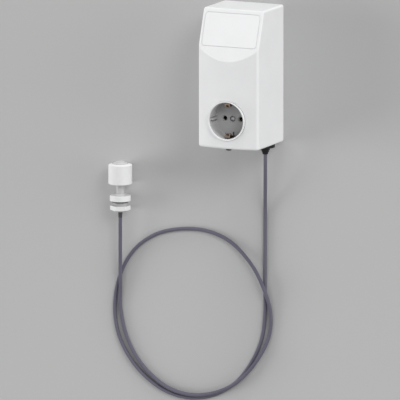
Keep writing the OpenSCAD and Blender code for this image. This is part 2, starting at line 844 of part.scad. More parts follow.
module cable_gland() {
    color([0.07, 0.07, 0.08])
    at_gland()
        rotate_extrude($fn = 64)
            difference() {
                union() {
                    translate([0, -wall - gland_nut_t - 0.2])
                        square([gland_neck_r, wall + gland_nut_t + 0.2]);
                    square([gland_flange_d / 2, gland_flange_t - 1.5]);
                    square([gland_flange_d / 2 - 1.5, gland_flange_t]);
                    translate([gland_flange_d / 2 - 1.5, gland_flange_t - 1.5])
                        intersection() {
                            circle(1.5);
                            square(2);
                        }
                    polygon([
                        [0, 0], [relief_root_r, 0], [relief_root_r, gland_flange_t],
                        [relief_tip_r, gland_tip], [0, gland_tip]
                    ]);
                }
                translate([-cut, -wall - gland_nut_t - cut])
                    square([cord_bore_r + cut, gland_tip + wall + gland_nut_t + 2 * cut]);
            }
}

module gland_nut() {
    color([0.1, 0.1, 0.1])
    at_gland() translate([0, 0, -wall - gland_nut_t])
        difference() {
            cylinder(r = gland_nut_af / 2 / cos(30), h = gland_nut_t, $fn = 6);
            translate([0, 0, -cut]) cylinder(r = gland_neck_r + thread_gap, h = gland_nut_t + 2 * cut);
        }
}

module sensor_cord() {
    color([0.36, 0.35, 0.42])
    swept_tube(smooth_path(cord_route, cord_steps), cord_d / 2, cord_sides);
}

// ---- Float switch ----

// Flange, its foot cone and the thread that clamp the float switch, with a seat for the stem
module mount_flange() {
    edge = 0.8;
    color([0.93, 0.93, 0.93])
    at_sensor()
        difference() {
            union() {
                translate([0, 0, -thread_l]) cylinder(r = thread_d / 2, h = thread_l, $fn = 64);
                rotate_extrude($fn = 64)
                    polygon([
                        [0, 0], [flange_d / 2 - edge, 0], [flange_d / 2, edge],
                        [flange_d / 2, flange_t - edge], [flange_d / 2 - edge, flange_t],
                        [stem_r + 0.6, flange_t + foot_cone_h], [0, flange_t + foot_cone_h]
                    ]);
            }
            translate([0, 0, -stem_in_l])
                cylinder(r = stem_r + thread_gap, h = stem_in_l + flange_t + foot_cone_h + cut);
            translate([0, 0, -thread_l - cut]) cylinder(r = stem_bore_r, h = thread_l + cut);
        }
}

// Guide stem that the float slides on, its lower end in the flange's seat
module float_stem() {
    color([0.75, 0.75, 0.75])
    at_sensor()
        difference() {
            union() {
                translate([0, 0, -stem_in_l]) cylinder(r = stem_r, h = stem_in_l + cap_low);
                cylinder(r = stem_r - 1.3, h = cap_top - 1);
            }
            translate([0, 0, -stem_in_l - cut]) cylinder(r = stem_bore_r, h = reed_top + stem_in_l + cut);
        }
}

module stem_cap() {
    color([0.93, 0.93, 0.93])
    at_sensor()
        rotate_extrude($fn = 64)
            polygon([
                [stem_r - 1.3 + thread_gap, cap_low], [cap_r, cap_low], [cap_r, cap_edge],
                [cap_top_r, cap_top], [0, cap_top], [0, cap_top - 1],
                [stem_r - 1.3 + thread_gap, cap_top - 1]
            ]);
}

module reed_switch() {
    color([0.6, 0.75, 0.7])
    at_sensor() translate([0, 0, reed_top - reed_l]) cylinder(r = reed_r, h = reed_l);
}

module flange_gasket() {
    color([0.25, 0.25, 0.26])
    at_sensor() translate([0, 0, -gasket_t])
        difference() {
            cylinder(r = gasket_d / 2, h = gasket_t, $fn = 64);
            translate([0, 0, -cut]) cylinder(r = thread_d / 2 + seat_gap, h = gasket_t + 2 * cut, $fn = 64);
        }
}

module lock_nut() {
    color([0.93, 0.93, 0.93])
    at_sensor() translate([0, 0, nut_high - nut_t])
        difference() {
            intersection() {
                rotate([0, 0, nut_turn]) cylinder(r = nut_r, h = nut_t, $fn = 6);
                // turned chamfers on the hexagon's corners
                rotate_extrude($fn = 64)
                    polygon([
                        [0, 0], [nut_af / 2, 0], [nut_r + 0.2, 0.6], [nut_r + 0.2, nut_t - 0.6],
                        [nut_af / 2, nut_t], [0, nut_t]
                    ]);
            }
            translate([0, 0, -cut]) cylinder(r = thread_d / 2 + thread_gap, h = nut_t + 2 * cut, $fn = 64);
        }
}

module float() {
    top_in_r = cap_r + cap_gap;
    color([0.93, 0.93, 0.93])
    at_sensor()
        rotate_extrude($fn = 96)
            polygon([
                [float_bore_r, float_low], [float_d / 2 - 1, float_low], [float_d / 2, float_low + 1],
                [float_d / 2, float_shoulder], [top_in_r, cap_edge], [top_in_r, float_seat],
                [magnet_r, float_seat], [magnet_r, float_seat - magnet_h],
                [float_bore_r, float_seat - magnet_h]
            ]);
}

module float_magnet() {
    color([0.2, 0.2, 0.22])
    at_sensor() translate([0, 0, float_seat - magnet_h])
        difference() {
            cylinder(r = magnet_r, h = magnet_h, $fn = 64);
            translate([0, 0, -cut]) cylinder(r = magnet_in_r, h = magnet_h + 2 * cut, $fn = 64);
        }
}

housing_hood();
rear_plate();
label_plate();
case_screws();
plug_body();
plug_screws();
plug_pin(-1);  // plug_pin_left
plug_pin(1);  // plug_pin_right
plug_earth_strips();
earth_bar();
neutral_bar();
live_feed_bar();
switched_live_bar();
socket_cup();
contact_base();
socket_screw();
socket_fixing_screws();
contact_sleeve(-1);  // contact_sleeve_left
contact_sleeve(1);  // contact_sleeve_right
earth_clip_upper();
earth_clip_lower();
circuit_board();
board_screws();
relay();
transformer();
capacitor();
fuse();
terminal_block();
buzzer();
mute_switch();
mute_button();
cable_gland();
gland_nut();
sensor_cord();
mount_flange();
float_stem();
stem_cap();
reed_switch();
flange_gasket();
lock_nut();
float();
float_magnet();
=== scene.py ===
"""Looks of the plug-in float alarm unit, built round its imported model.

The frame is the model's own: +X to the case's right, +Y up the case, +Z out of the front.
Sizes in the classes are in millimetres, and become metres where a mesh is made.
"""

import logging
import math
from collections.abc import Callable, Iterator, Sequence
from contextlib import contextmanager
from dataclasses import dataclass, field
from enum import Enum
from itertools import pairwise

import bmesh
import bpy
from mathutils import Matrix, Vector


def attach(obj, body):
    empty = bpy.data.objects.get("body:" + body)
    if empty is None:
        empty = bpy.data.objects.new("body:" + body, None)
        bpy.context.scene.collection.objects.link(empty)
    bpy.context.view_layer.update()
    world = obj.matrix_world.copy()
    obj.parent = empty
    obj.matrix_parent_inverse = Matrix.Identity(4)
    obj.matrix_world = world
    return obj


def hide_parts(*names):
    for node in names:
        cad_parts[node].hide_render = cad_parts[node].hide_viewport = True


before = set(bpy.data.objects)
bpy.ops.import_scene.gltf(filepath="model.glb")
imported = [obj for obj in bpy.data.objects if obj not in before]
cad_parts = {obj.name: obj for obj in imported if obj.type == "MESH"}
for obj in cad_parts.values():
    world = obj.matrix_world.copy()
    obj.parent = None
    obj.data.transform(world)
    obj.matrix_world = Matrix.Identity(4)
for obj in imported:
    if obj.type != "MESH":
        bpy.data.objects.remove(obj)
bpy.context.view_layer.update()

log = logging.getLogger("float_alarm_unit")

MM = 0.001
CUT = 0.1          # how far a cutter stands past the face that it opens
PAST = 1.0         # how far it does so where nothing else is near
SEAT_GAP = 0.05    # clearance between turned pieces that sit in each other
DOUBLE = MM / 500  # points nearer than this are one

Pair = tuple[float, float]
Triple = tuple[float, float, float]
Corner = tuple[float, ...]  # two coordinates, and a radius where it is rounded


class Body(Enum):
    """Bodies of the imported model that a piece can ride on."""

    CASE = "case"
    FLOAT = "float_body"
    BUTTON = "button_body"
    UPPER_CLIP = "upper_clip_body"
    LOWER_CLIP = "lower_clip_body"


class Grain(Enum):
    """Direction in which a metal was drawn or brushed, as a stretch of its pattern."""

    ALONG_Y = (1.0, 0.04, 1.0)
    ALONG_Z = (1.0, 1.0, 0.04)
    NONE = (1.0, 1.0, 1.0)


class Facing(Enum):
    """Way in which the local +Z of a turned or cut-out piece points in the model."""

    FRONT = 0.0
    DOWN = math.pi / 2
    UP = -math.pi / 2


def placed(x: float, y: float, z: float, facing: Facing = Facing.FRONT) -> Matrix:
    """Place of a piece: its origin in millimetres and the way it faces."""
    return Matrix.Translation((x * MM, y * MM, z * MM)) @ Matrix.Rotation(facing.value, 4, "X")


def arc(centre: Pair, radius: float, first: float, turn: float, steps: int) -> list[Pair]:
    """Points along an arc.

    Args:
        centre: Its centre.
        radius: Its radius.
        first: Angle that it starts at, in radians.
        turn: Angle that it runs through.
        steps: Facets along it.

    Returns:
        The points, with both ends.
    """
    angles = [first + turn * step / steps for step in range(steps + 1)]
    return [(centre[0] + radius * math.cos(angle), centre[1] + radius * math.sin(angle))
            for angle in angles]


def rounded_path(corners: Sequence[Corner], closed: bool = False, steps: int = 5) -> list[Pair]:
    """Path through some corners, each sharp or rounded with a radius of its own.

    Args:
        corners: Each corner's two coordinates, and its radius where it is rounded.
        closed: Whether the last corner joins the first.
        steps: Facets along each rounded corner.

    Returns:
        The points of the path.
    """
    path: list[Pair] = []
    count = len(corners)
    for index, (across, along, *rounding) in enumerate(corners):
        here = Vector((across, along))
        is_end = not closed and index in (0, count - 1)
        if not rounding or is_end:
            path.append((across, along))
            continue
        radius = rounding[0]
        before = (Vector(corners[index - 1][:2]) - here).normalized()
        after = (Vector(corners[(index + 1) % count][:2]) - here).normalized()
        half = before.angle(after) / 2
        centre = here + (before + after).normalized() * radius / math.sin(half)
        start = here + before * radius / math.tan(half) - centre
        end = here + after * radius / math.tan(half) - centre
        first = math.atan2(start.y, start.x)
        turn = (math.atan2(end.y, end.x) - first + math.pi) % math.tau - math.pi
        path += arc(tuple(centre), radius, first, turn, steps)
    return path


def rectangle(width: float, height: float, radius: float) -> list[Pair]:
    """Outline of a rectangle about the origin, with rounded corners.

    Args:
        width: Its size across.
        height: Its size along.
        radius: Radius of its corners.

    Returns:
        The points of the outline.
    """
    across, along = width / 2, height / 2
    corners = [(across, -along, radius), (across, along, radius),
               (-across, along, radius), (-across, -along, radius)]
    return rounded_path(corners, closed=True, steps=8)


def pick_all() -> None:
    """Selects all of the mesh that is being edited."""
    bpy.ops.mesh.select_all(action="SELECT")


def face_outwards() -> None:
    """Turns every face of the mesh that is being edited outwards."""
    pick_all()
    bpy.ops.mesh.normals_make_consistent(inside=False)


class Workpiece:
    """A mesh that is shaped with Blender's modelling tools, in millimetres.

    Attributes:
        obj: The mesh's object, which always stays at the origin, unturned and unscaled.
    """

    def __init__(self, obj: bpy.types.Object) -> None:
        """Takes over a mesh object."""
        self.obj = obj

    @classmethod
    def started(cls, name: str, add: Callable[..., object], **settings: object) -> "Workpiece":
        """Piece that starts as one of Blender's primitives.

        Args:
            name: Name of the piece.
            add: Operator that adds the primitive.
            **settings: Settings of that operator.

        Returns:
            The primitive, as a piece.
        """
        bpy.ops.object.select_all(action="DESELECT")
        add(**settings)
        obj = bpy.context.active_object
        obj.name = name
        obj.data.name = name
        return cls(obj)

    @classmethod
    def block(cls, name: str, low: Triple, high: Triple) -> "Workpiece":
        """Block between two points, the start of a squared piece.

        Args:
            name: Name of the piece.
            low: One corner.
            high: The opposite corner.

        Returns:
            The block.
        """
        ends = [sorted(pair) for pair in zip(low, high)]
        middle = Vector([(a + b) / 2 * MM for a, b in ends])
        size = Vector([(b - a) * MM for a, b in ends])
        piece = cls.started(name, bpy.ops.mesh.primitive_cube_add, size=1.0)
        return piece.settle(Matrix.LocRotScale(middle, None, size))

    @classmethod
    def drill(cls, radius: float, low: float, high: float, place: Matrix | None = None,
              sides: int = 96) -> "Workpiece":
        """Round rod along the place's own Z, to cut a hole with.

        Args:
            radius: Its radius.
            low: Its lower end on the place's own Z.
            high: Its upper end.
            place: Where it stands.
            sides: Facets round it.

        Returns:
            The rod.
        """
        piece = cls.started(
            "drill", bpy.ops.mesh.primitive_cylinder_add, vertices=sides, radius=radius * MM,
            depth=(high - low) * MM, location=(0, 0, (low + high) / 2 * MM))
        return piece.settle().settle(place)

    @classmethod
    def cut_out(cls, name: str, outline: Sequence[Pair], low: float, high: float,
                place: Matrix | None = None) -> "Workpiece":
        """Flat shape cut to an outline and raised from low to high.

        Args:
            name: Name of the piece.
            outline: Points round the shape.
            low: Height of its lower face on the place's own Z.
            high: Height of its upper face.
            place: Where the outline's plane lies.

        Returns:
            The raised shape.
        """
        piece = cls.started(name, bpy.ops.mesh.primitive_circle_add, vertices=len(outline),
                            radius=MM, fill_type="NGON")
        with piece.editing() as mesh:
            for vertex, (x, y) in zip(mesh.verts, outline):
                vertex.co = (x * MM, y * MM, low * MM)
            bmesh.update_edit_mesh(piece.obj.data)
            pick_all()
            bpy.ops.mesh.extrude_region_move(
                TRANSFORM_OT_translate={"value": (0, 0, (high - low) * MM)})
            face_outwards()
        return piece.settle(place)

    @classmethod
    def turned(cls, name: str, corners: Sequence[Corner], place: Matrix | None = None,
               ring: bool = False, steps: int = 96, rounding: int = 5) -> "Workpiece":
        """Piece turned about the place's own Z from a profile.

        Args:
            name: Name of the piece.
            corners: Radius and height of each corner of the profile, and its rounding.
            place: Where the axis lies.
            ring: Whether the profile closes on itself, as a ring's does.
            steps: Facets round the axis.
            rounding: Facets along each rounded corner.

        Returns:
            The turned piece, closed and facing outwards.
        """
        points = rounded_path(corners, closed=ring, steps=rounding)
        if ring:
            points.append(points[0])
        piece = cls.started(name, bpy.ops.mesh.primitive_plane_add, size=MM)
        with piece.editing():
            pick_all()
            bpy.ops.mesh.merge(type="CENTER")
            radius, height = points[0]
            bpy.ops.transform.translate(value=(radius * MM, 0, height * MM))
            for (radius, height), (next_radius, next_height) in pairwise(points):
                step = ((next_radius - radius) * MM, 0, (next_height - height) * MM)
                bpy.ops.mesh.extrude_vertices_move(TRANSFORM_OT_translate={"value": step})
            pick_all()
            bpy.ops.mesh.spin(steps=steps, angle=math.tau, center=(0, 0, 0), axis=(0, 0, 1))
            pick_all()
            bpy.ops.mesh.remove_doubles(threshold=DOUBLE)
            face_outwards()
        return piece.settle(place)

    @classmethod
    def from_node(cls, name: str, node: str) -> "Workpiece":
        """Copy of a node of the model, merged and with its flat faces made whole.

        Args:
            name: Name of the piece.
            node: The node.

        Returns:
            The copy.
        """
        obj = bpy.data.objects.new(name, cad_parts[node].data.copy())
        bpy.context.scene.collection.objects.link(obj)
        piece = cls(obj)
        obj.data.materials.clear()
        with piece.editing():
            pick_all()
            bpy.ops.mesh.remove_doubles(threshold=DOUBLE)
            bpy.ops.mesh.dissolve_limited(angle_limit=math.radians(0.5))
        return piece

    def activate(self) -> None:
        """Selects this piece alone."""
        bpy.ops.object.select_all(action="DESELECT")
        bpy.context.view_layer.objects.active = self.obj
        self.obj.select_set(True)

    @contextmanager
    def editing(self) -> Iterator[bmesh.types.BMesh]:
        """Edit mode, with its mesh to pick faces and edges in."""
        self.activate()
        bpy.ops.object.mode_set(mode="EDIT")
        bpy.ops.mesh.select_mode(type="VERT")
        mesh = bmesh.from_edit_mesh(self.obj.data)
        mesh.verts.ensure_lookup_table()
        yield mesh
        bpy.ops.object.mode_set(mode="OBJECT")

    def settle(self, place: Matrix | None = None) -> "Workpiece":
        """Moves the mesh to a place, and leaves the object at the origin.

        Args:
            place: The place, or None for where it stands.

        Returns:
            This piece.
        """
        if place is not None:
            self.obj.matrix_world = place
        self.activate()
        bpy.ops.object.transform_apply(location=True, rotation=True, scale=True)
        return self

    def apply(self, kind: str, **settings: object) -> "Workpiece":
        """Adds a modifier, and applies it.

        Args:
            kind: Type of the modifier.
            **settings: Its settings.

        Returns:
            This piece.
        """
        self.activate()
        modifier = self.obj.modifiers.new("shaping", kind)
        for name, value in settings.items():
            setattr(modifier, name, value)
        bpy.ops.object.modifier_apply(modifier=modifier.name)
        return self

    def _combine(self, tool: "Workpiece", operation: str) -> "Workpiece":
        """Joins or cuts with another piece, which is used up.

        Args:
            tool: The other piece.
            operation: What is done with it.

        Returns:
            This piece.
        """
        self.apply("BOOLEAN", object=tool.obj, operation=operation, solver="EXACT")
        bpy.data.meshes.remove(tool.obj.data)
        return self

    def cut(self, tool: "Workpiece") -> "Workpiece":
        """Cuts another piece's shape away."""
        return self._combine(tool, "DIFFERENCE")

    def weld(self, other: "Workpiece") -> "Workpiece":
        """Makes another piece one with this one."""
        return self._combine(other, "UNION")

    def keep_inside(self, other: "Workpiece") -> "Workpiece":
        """Keeps what lies inside another piece."""
        return self._combine(other, "INTERSECT")

    def ease(self, width: float, steps: int = 2, angle: float = 35.0) -> "Workpiece":
        """Rounds every edge that folds by more than an angle (degrees)."""
        return self.apply("BEVEL", width=width * MM, segments=steps, limit_method="ANGLE",
                          angle_limit=math.radians(angle), use_clamp_overlap=True,
                          miter_outer="MITER_ARC")

    def clean(self) -> "Workpiece":
        """Merges what a cut left doubled."""
        with self.editing():
            pick_all()
            bpy.ops.mesh.remove_doubles(threshold=DOUBLE)
            bpy.ops.mesh.dissolve_degenerate(threshold=DOUBLE / 2)
        return self

    def smooth(self, angle: float = 30.0) -> "Workpiece":
        """Shades the piece smoothly, but not over edges sharper than an angle (degrees)."""
        self.activate()
        bpy.ops.object.shade_smooth_by_angle(angle=math.radians(angle))
        return self.apply("WEIGHTED_NORMAL", keep_sharp=True, weight=50)

    def dress(self, finish: "Finish", body: Body, *nodes: str) -> bpy.types.Object:
        """Gives the piece its finish, its body and the nodes that it stands for.

        Args:
            finish: Its finish.
            body: The body that it rides on.
            *nodes: Nodes of the model that it replaces.

        Returns:
            The finished object.
        """
        self.obj.data.materials.clear()
        self.obj.data.materials.append(finish.material())
        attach(self.obj, body.value)
        if nodes:
            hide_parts(*nodes)
        log.info("%s: %d faces", self.obj.name, len(self.obj.data.polygons))
        return self.obj


class NodeSheet:
    """Shader nodes of one material, linked as they are added.

    Attributes:
        made: The material.
        shader: Its surface shader.
    """

    def __init__(self, name: str) -> None:
        """Starts a material with its surface shader alone."""
        self.made = bpy.data.materials.new(name)
        self.made.use_nodes = True
        self.tree = self.made.node_tree
        self.shader = self.tree.nodes["Principled BSDF"]
        self.place = self.add("ShaderNodeTexCoord").outputs["Object"]

    def add(self, kind: str, **settings: object) -> bpy.types.Node:
        """Adds a node with some settings."""
        node = self.tree.nodes.new(kind)
        for name, value in settings.items():
            setattr(node, name, value)
        return node

    def link(self, source: bpy.types.NodeSocket, target: bpy.types.NodeSocket) -> None:
        """Links two sockets."""
        self.tree.links.new(source, target)

    def stretched(self, stretch: Triple) -> bpy.types.NodeSocket:
        """Place on the object, stretched along its axes.

        Args:
            stretch: Factor along each axis.

        Returns:
            The stretched place.
        """
        mapping = self.add("ShaderNodeMapping")
        mapping.inputs["Scale"].default_value = stretch
        self.link(self.place, mapping.inputs["Vector"])
        return mapping.outputs["Vector"]

    def noise(self, size: float, detail: float = 3.0,
              place: bpy.types.NodeSocket | None = None) -> bpy.types.NodeSocket:
        """Noise with patches of about one size.

        Args:
            size: What its patches are across, in millimetres.
            detail: Octaves of finer noise in it.
            place: Place that it is read at, or None for the place on the object.

        Returns:
            The noise.
        """
        node = self.add("ShaderNodeTexNoise")
        node.inputs["Scale"].default_value = 1 / (size * MM)
        node.inputs["Detail"].default_value = detail
        self.link(place or self.place, node.inputs["Vector"])
        return node.outputs["Fac"]

    def bands(self, size: float, direction: str, wander: float = 0.0) -> bpy.types.NodeSocket:
        """Bands across an axis.

        Args:
            size: Width of a band in millimetres.
            direction: X, Y or Z.
            wander: How far the bands wander.

        Returns:
            The bands.
        """
        node = self.add("ShaderNodeTexWave", wave_type="BANDS", bands_direction=direction,
                        wave_profile="TRI")
        node.inputs["Scale"].default_value = math.pi / (10 * size * MM)
        node.inputs["Distortion"].default_value = wander
        self.link(self.place, node.inputs["Vector"])
        return node.outputs["Fac"]

    def blend(self, factor: bpy.types.NodeSocket, low: Triple, high: Triple,
              span: Pair = (0.3, 0.7)) -> bpy.types.NodeSocket:
        """Colour that follows a factor.

        Args:
            factor: What it follows.
            low: Colour at the start of the span.
            high: Colour at its end.
            span: Span of the factor that it runs over.

        Returns:
            The colour.
        """
        node = self.add("ShaderNodeValToRGB")
        first, last = node.color_ramp.elements
        first.position, last.position = span
        first.color, last.color = (*low, 1.0), (*high, 1.0)
        self.link(factor, node.inputs["Fac"])
        return node.outputs["Color"]

    def spread(self, factor: bpy.types.NodeSocket, low: float, high: float,
               span: Pair = (0.3, 0.7)) -> bpy.types.NodeSocket:
        """Number that follows a factor.

        Args:
            factor: What it follows.
            low: Number at the start of the span.
            high: Number at its end.
            span: Span of the factor that it runs over.

        Returns:
            The number.
        """
        node = self.add("ShaderNodeMapRange")
        for name, value in zip(("From Min", "From Max", "To Min", "To Max"), (*span, low, high)):
            node.inputs[name].default_value = value
        self.link(factor, node.inputs["Value"])
        return node.outputs["Result"]

    def relief(self, *layers: tuple[bpy.types.NodeSocket, float]) -> None:
        """Bumps the surface.

        Args:
            *layers: Each height, and its depth in millimetres.
        """
        below: bpy.types.NodeSocket | None = None
        for height, depth in layers:
            bump = self.add("ShaderNodeBump")
            bump.inputs["Strength"].default_value = 1.0
            bump.inputs["Distance"].default_value = depth * MM
            self.link(height, bump.inputs["Height"])
            if below is not None:
                self.link(below, bump.inputs["Normal"])
            below = bump.outputs["Normal"]
        if below is not None:
            self.link(below, self.shader.inputs["Normal"])

    def colour(self, source: bpy.types.NodeSocket) -> None:
        """Sends a colour to the surface."""
        self.link(source, self.shader.inputs["Base Color"])

    def roughness(self, source: bpy.types.NodeSocket) -> None:
        """Sends a roughness to the surface."""
        self.link(source, self.shader.inputs["Roughness"])

    def constant(self, name: str, value: float) -> None:
        """Sets one of the surface's own numbers."""
        self.shader.inputs[name].default_value = value


def tinted(colour: Triple, factor: float) -> Triple:
    """Colour made lighter or darker by a factor, within white."""
    return tuple(min(1.0, channel * factor) for channel in colour)


@dataclass(frozen=True)
class Finish:
    """Look of one material of the unit."""

    slot: str  # material slot of the record
    colour: Triple  # its colour, linear
    rough: float  # its mean roughness
    mottle: float = 0.012  # share by which the colour wanders
    mottle_size: float = 22.0  # size of the colour's patches in millimetres

    def material(self) -> bpy.types.Material:
        """Makes the material of this finish, or finds it again.

        Returns:
            The material.
        """
        name = f"{self.slot}_{round(self.colour[1] * 100):02d}"
        found = bpy.data.materials.get(name)
        if found is not None:
            return found
        sheet = NodeSheet(name)
        patches = sheet.noise(self.mottle_size, 2.0)
        low, high = tinted(self.colour, 1 - self.mottle), tinted(self.colour, 1 + self.mottle)
        sheet.colour(sheet.blend(patches, low, high))
        self.surface(sheet)
        return sheet.made

    def surface(self, sheet: NodeSheet) -> None:
        """Adds what sets this kind of finish apart."""
        sheet.roughness(sheet.spread(sheet.noise(3.0), self.rough - 0.03, self.rough + 0.03))


@dataclass(frozen=True)
class Moulding(Finish):
    """Injection-moulded plastic with an eroded mould's fine grain."""

    grain: float = 0.22  # size of the grain in millimetres
    grain_depth: float = 0.006  # depth of the grain in millimetres
    sink: float = 0.02  # depth of the slow unevenness of a moulded wall, in millimetres

    def surface(self, sheet: NodeSheet) -> None:
        """Grain, slow unevenness of the walls and handling marks in the sheen."""
        marks = sheet.noise(9.0, 4.0)
        sheet.roughness(sheet.spread(marks, self.rough - 0.045, self.rough + 0.045))
        grain = sheet.noise(self.grain)
        sheet.relief((sheet.noise(14.0, 1.0), self.sink), (grain, self.grain_depth))
        sheet.constant("IOR", 1.5)


@dataclass(frozen=True)
class Rubber(Finish):
    """Soft moulded rubber or thermoplastic, with a bloom on its surface."""

    def surface(self, sheet: NodeSheet) -> None:
        """Fine speckle, and a dusty bloom that dulls it in patches."""
        bloom = sheet.noise(5.0, 5.0)
        sheet.roughness(sheet.spread(bloom, self.rough - 0.1, self.rough + 0.08))
        sheet.relief((sheet.noise(0.35, 2.0), 0.012))
        sheet.constant("IOR", 1.45)


@dataclass(frozen=True)
class Jacket(Finish):
    """Extruded jacket of the lead, with the faint unevenness of the strands below it."""

    def surface(self, sheet: NodeSheet) -> None:
        """Slow waves of the strands, a fine skin and a little rubbed sheen."""
        rubbed = sheet.noise(30.0, 4.0)
        sheet.roughness(sheet.spread(rubbed, self.rough - 0.08, self.rough + 0.07))
        sheet.relief((sheet.noise(7.0, 1.0), 0.05), (sheet.noise(0.5, 2.0), 0.008))
        sheet.constant("IOR", 1.5)


@dataclass(frozen=True)
class Metal(Finish):
    """Bare or plated metal, drawn, stamped or tumbled."""

    grain: Grain = Grain.NONE  # direction of its drawn lines
    tarnish: float = 0.12  # share by which spots of it are darker

    def surface(self, sheet: NodeSheet) -> None:
        """Drawn lines, and a tarnish in patches."""
        spots = sheet.noise(2.5, 5.0)
        sheet.colour(sheet.blend(spots, tinted(self.colour, 1 - self.tarnish), self.colour))
        lines = sheet.noise(0.3, 3.0, sheet.stretched(self.grain.value))
        sheet.roughness(sheet.spread(lines, self.rough - 0.07, self.rough + 0.09))
        sheet.relief((lines, 0.006))
        sheet.constant("Metallic", 1.0)


@dataclass(frozen=True)
class Printed(Finish):
    """Circuit board under its solder mask."""

    track: Triple = (0.07, 0.3, 0.14)  # colour of the mask over a copper track
    pitch: float = 2.5  # distance between tracks in millimetres

    def surface(self, sheet: NodeSheet) -> None:
        """Tracks that wander along the board, raised under the mask."""
        lines = sheet.bands(self.pitch, "X", 3.0)
        sheet.colour(sheet.blend(lines, self.colour, self.track, (0.55, 0.6)))
        sheet.roughness(sheet.spread(lines, self.rough, self.rough + 0.08))
        sheet.relief((lines, 0.03))


@dataclass(frozen=True)
class Laminated(Finish):
    """Stack of varnished sheets."""

    sheet_t: float = 0.5  # thickness of one sheet in millimetres

    def surface(self, sheet: NodeSheet) -> None:
        """Edges of the sheets, seen as fine bands."""
        edges = sheet.bands(self.sheet_t, "Y")
        sheet.colour(sheet.blend(edges, tinted(self.colour, 0.6), tinted(self.colour, 1.5)))
        sheet.roughness(sheet.spread(edges, self.rough, self.rough + 0.15))
        sheet.relief((edges, 0.05))


@dataclass(frozen=True)
class Finishes:
    """All finishes of the unit."""

    housing: Finish = Moulding("housing_white", (0.82, 0.825, 0.83), 0.36)
    label: Finish = Moulding("label_white", (0.84, 0.845, 0.85), 0.5, grain=0.12, grain_depth=0.003)
    socket: Finish = Moulding("socket_grey", (0.47, 0.47, 0.475), 0.42)
    # The contact brass is painted far darker than bare brass, with heavy tarnish, as painted shade
    # deep in the pin holes.
    brass: Finish = Metal("contact_brass", (0.3, 0.23, 0.13), 0.42, tarnish=0.3)
    earth: Finish = Metal("earth_copper", (0.5, 0.38, 0.31), 0.36, grain=Grain.ALONG_Z)
    bar: Finish = Metal("bar_copper", (0.68, 0.38, 0.24), 0.35, grain=Grain.ALONG_Y)
    pin: Finish = Metal("pin_nickel", (0.72, 0.7, 0.67), 0.22, grain=Grain.ALONG_Z, tarnish=0.06)
    steel: Finish = Metal("screw_steel", (0.64, 0.64, 0.66), 0.3, tarnish=0.15)
    board: Finish = Printed("board_green", (0.03, 0.17, 0.07), 0.3)
    relay: Finish = Moulding("relay_blue", (0.04, 0.08, 0.3), 0.4)
    core: Finish = Laminated("core_dark", (0.07, 0.07, 0.08), 0.4)
    black: Finish = Moulding("part_black", (0.016, 0.016, 0.018), 0.38)
    fuse: Finish = Moulding("fuse_white", (0.68, 0.68, 0.64), 0.5)
    terminal: Finish = Moulding("terminal_green", (0.05, 0.3, 0.12), 0.4)
    gland: Finish = Rubber("gland_black", (0.014, 0.014, 0.016), 0.5)
    cord: Finish = Jacket("cord_violet", (0.128, 0.122, 0.162), 0.45, mottle=0.04)
    float_: Finish = Moulding("float_white", (0.8, 0.805, 0.8), 0.4)
    # The cap is the float's white plastic painted darker: painted shade on its cone.
    cap: Finish = Moulding("float_white", (0.57, 0.575, 0.57), 0.45)
    # The guide stem's grey is partly its own and partly painted shade under the float; the thread
    # below the flange wears it as painted shade.
    stem: Finish = Moulding("stem_grey", (0.53, 0.53, 0.53), 0.7)
    gasket: Finish = Rubber("gasket_grey", (0.07, 0.07, 0.075), 0.6)
    magnet: Finish = Rubber("magnet_dark", (0.04, 0.04, 0.045), 0.5)
    glass: Finish = Moulding("reed_glass", (0.5, 0.7, 0.64), 0.1, grain_depth=0.0005)


@dataclass(frozen=True)
class Lamp:
    """Soft lamp, so far off that its light is even."""

    name: str  # its name
    side: Triple  # direction to it
    spread: float  # angle that it takes up, in degrees
    strength: float  # light that it sends, in watts a square metre
    mirrored: bool = False  # whether glossy surfaces show it

    def hang(self) -> None:
        """Hangs the lamp, turned to the unit."""
        data = bpy.data.lights.new(self.name, "SUN")
        data.angle = math.radians(self.spread)
        data.energy = self.strength
        lamp = bpy.data.objects.new(self.name, data)
        bpy.context.scene.collection.objects.link(lamp)
        lamp.location = self.side
        lamp.rotation_mode = "QUATERNION"
        lamp.rotation_quaternion = (-Vector(self.side)).to_track_quat("-Z", "Y")
        lamp.visible_glossy = self.mirrored


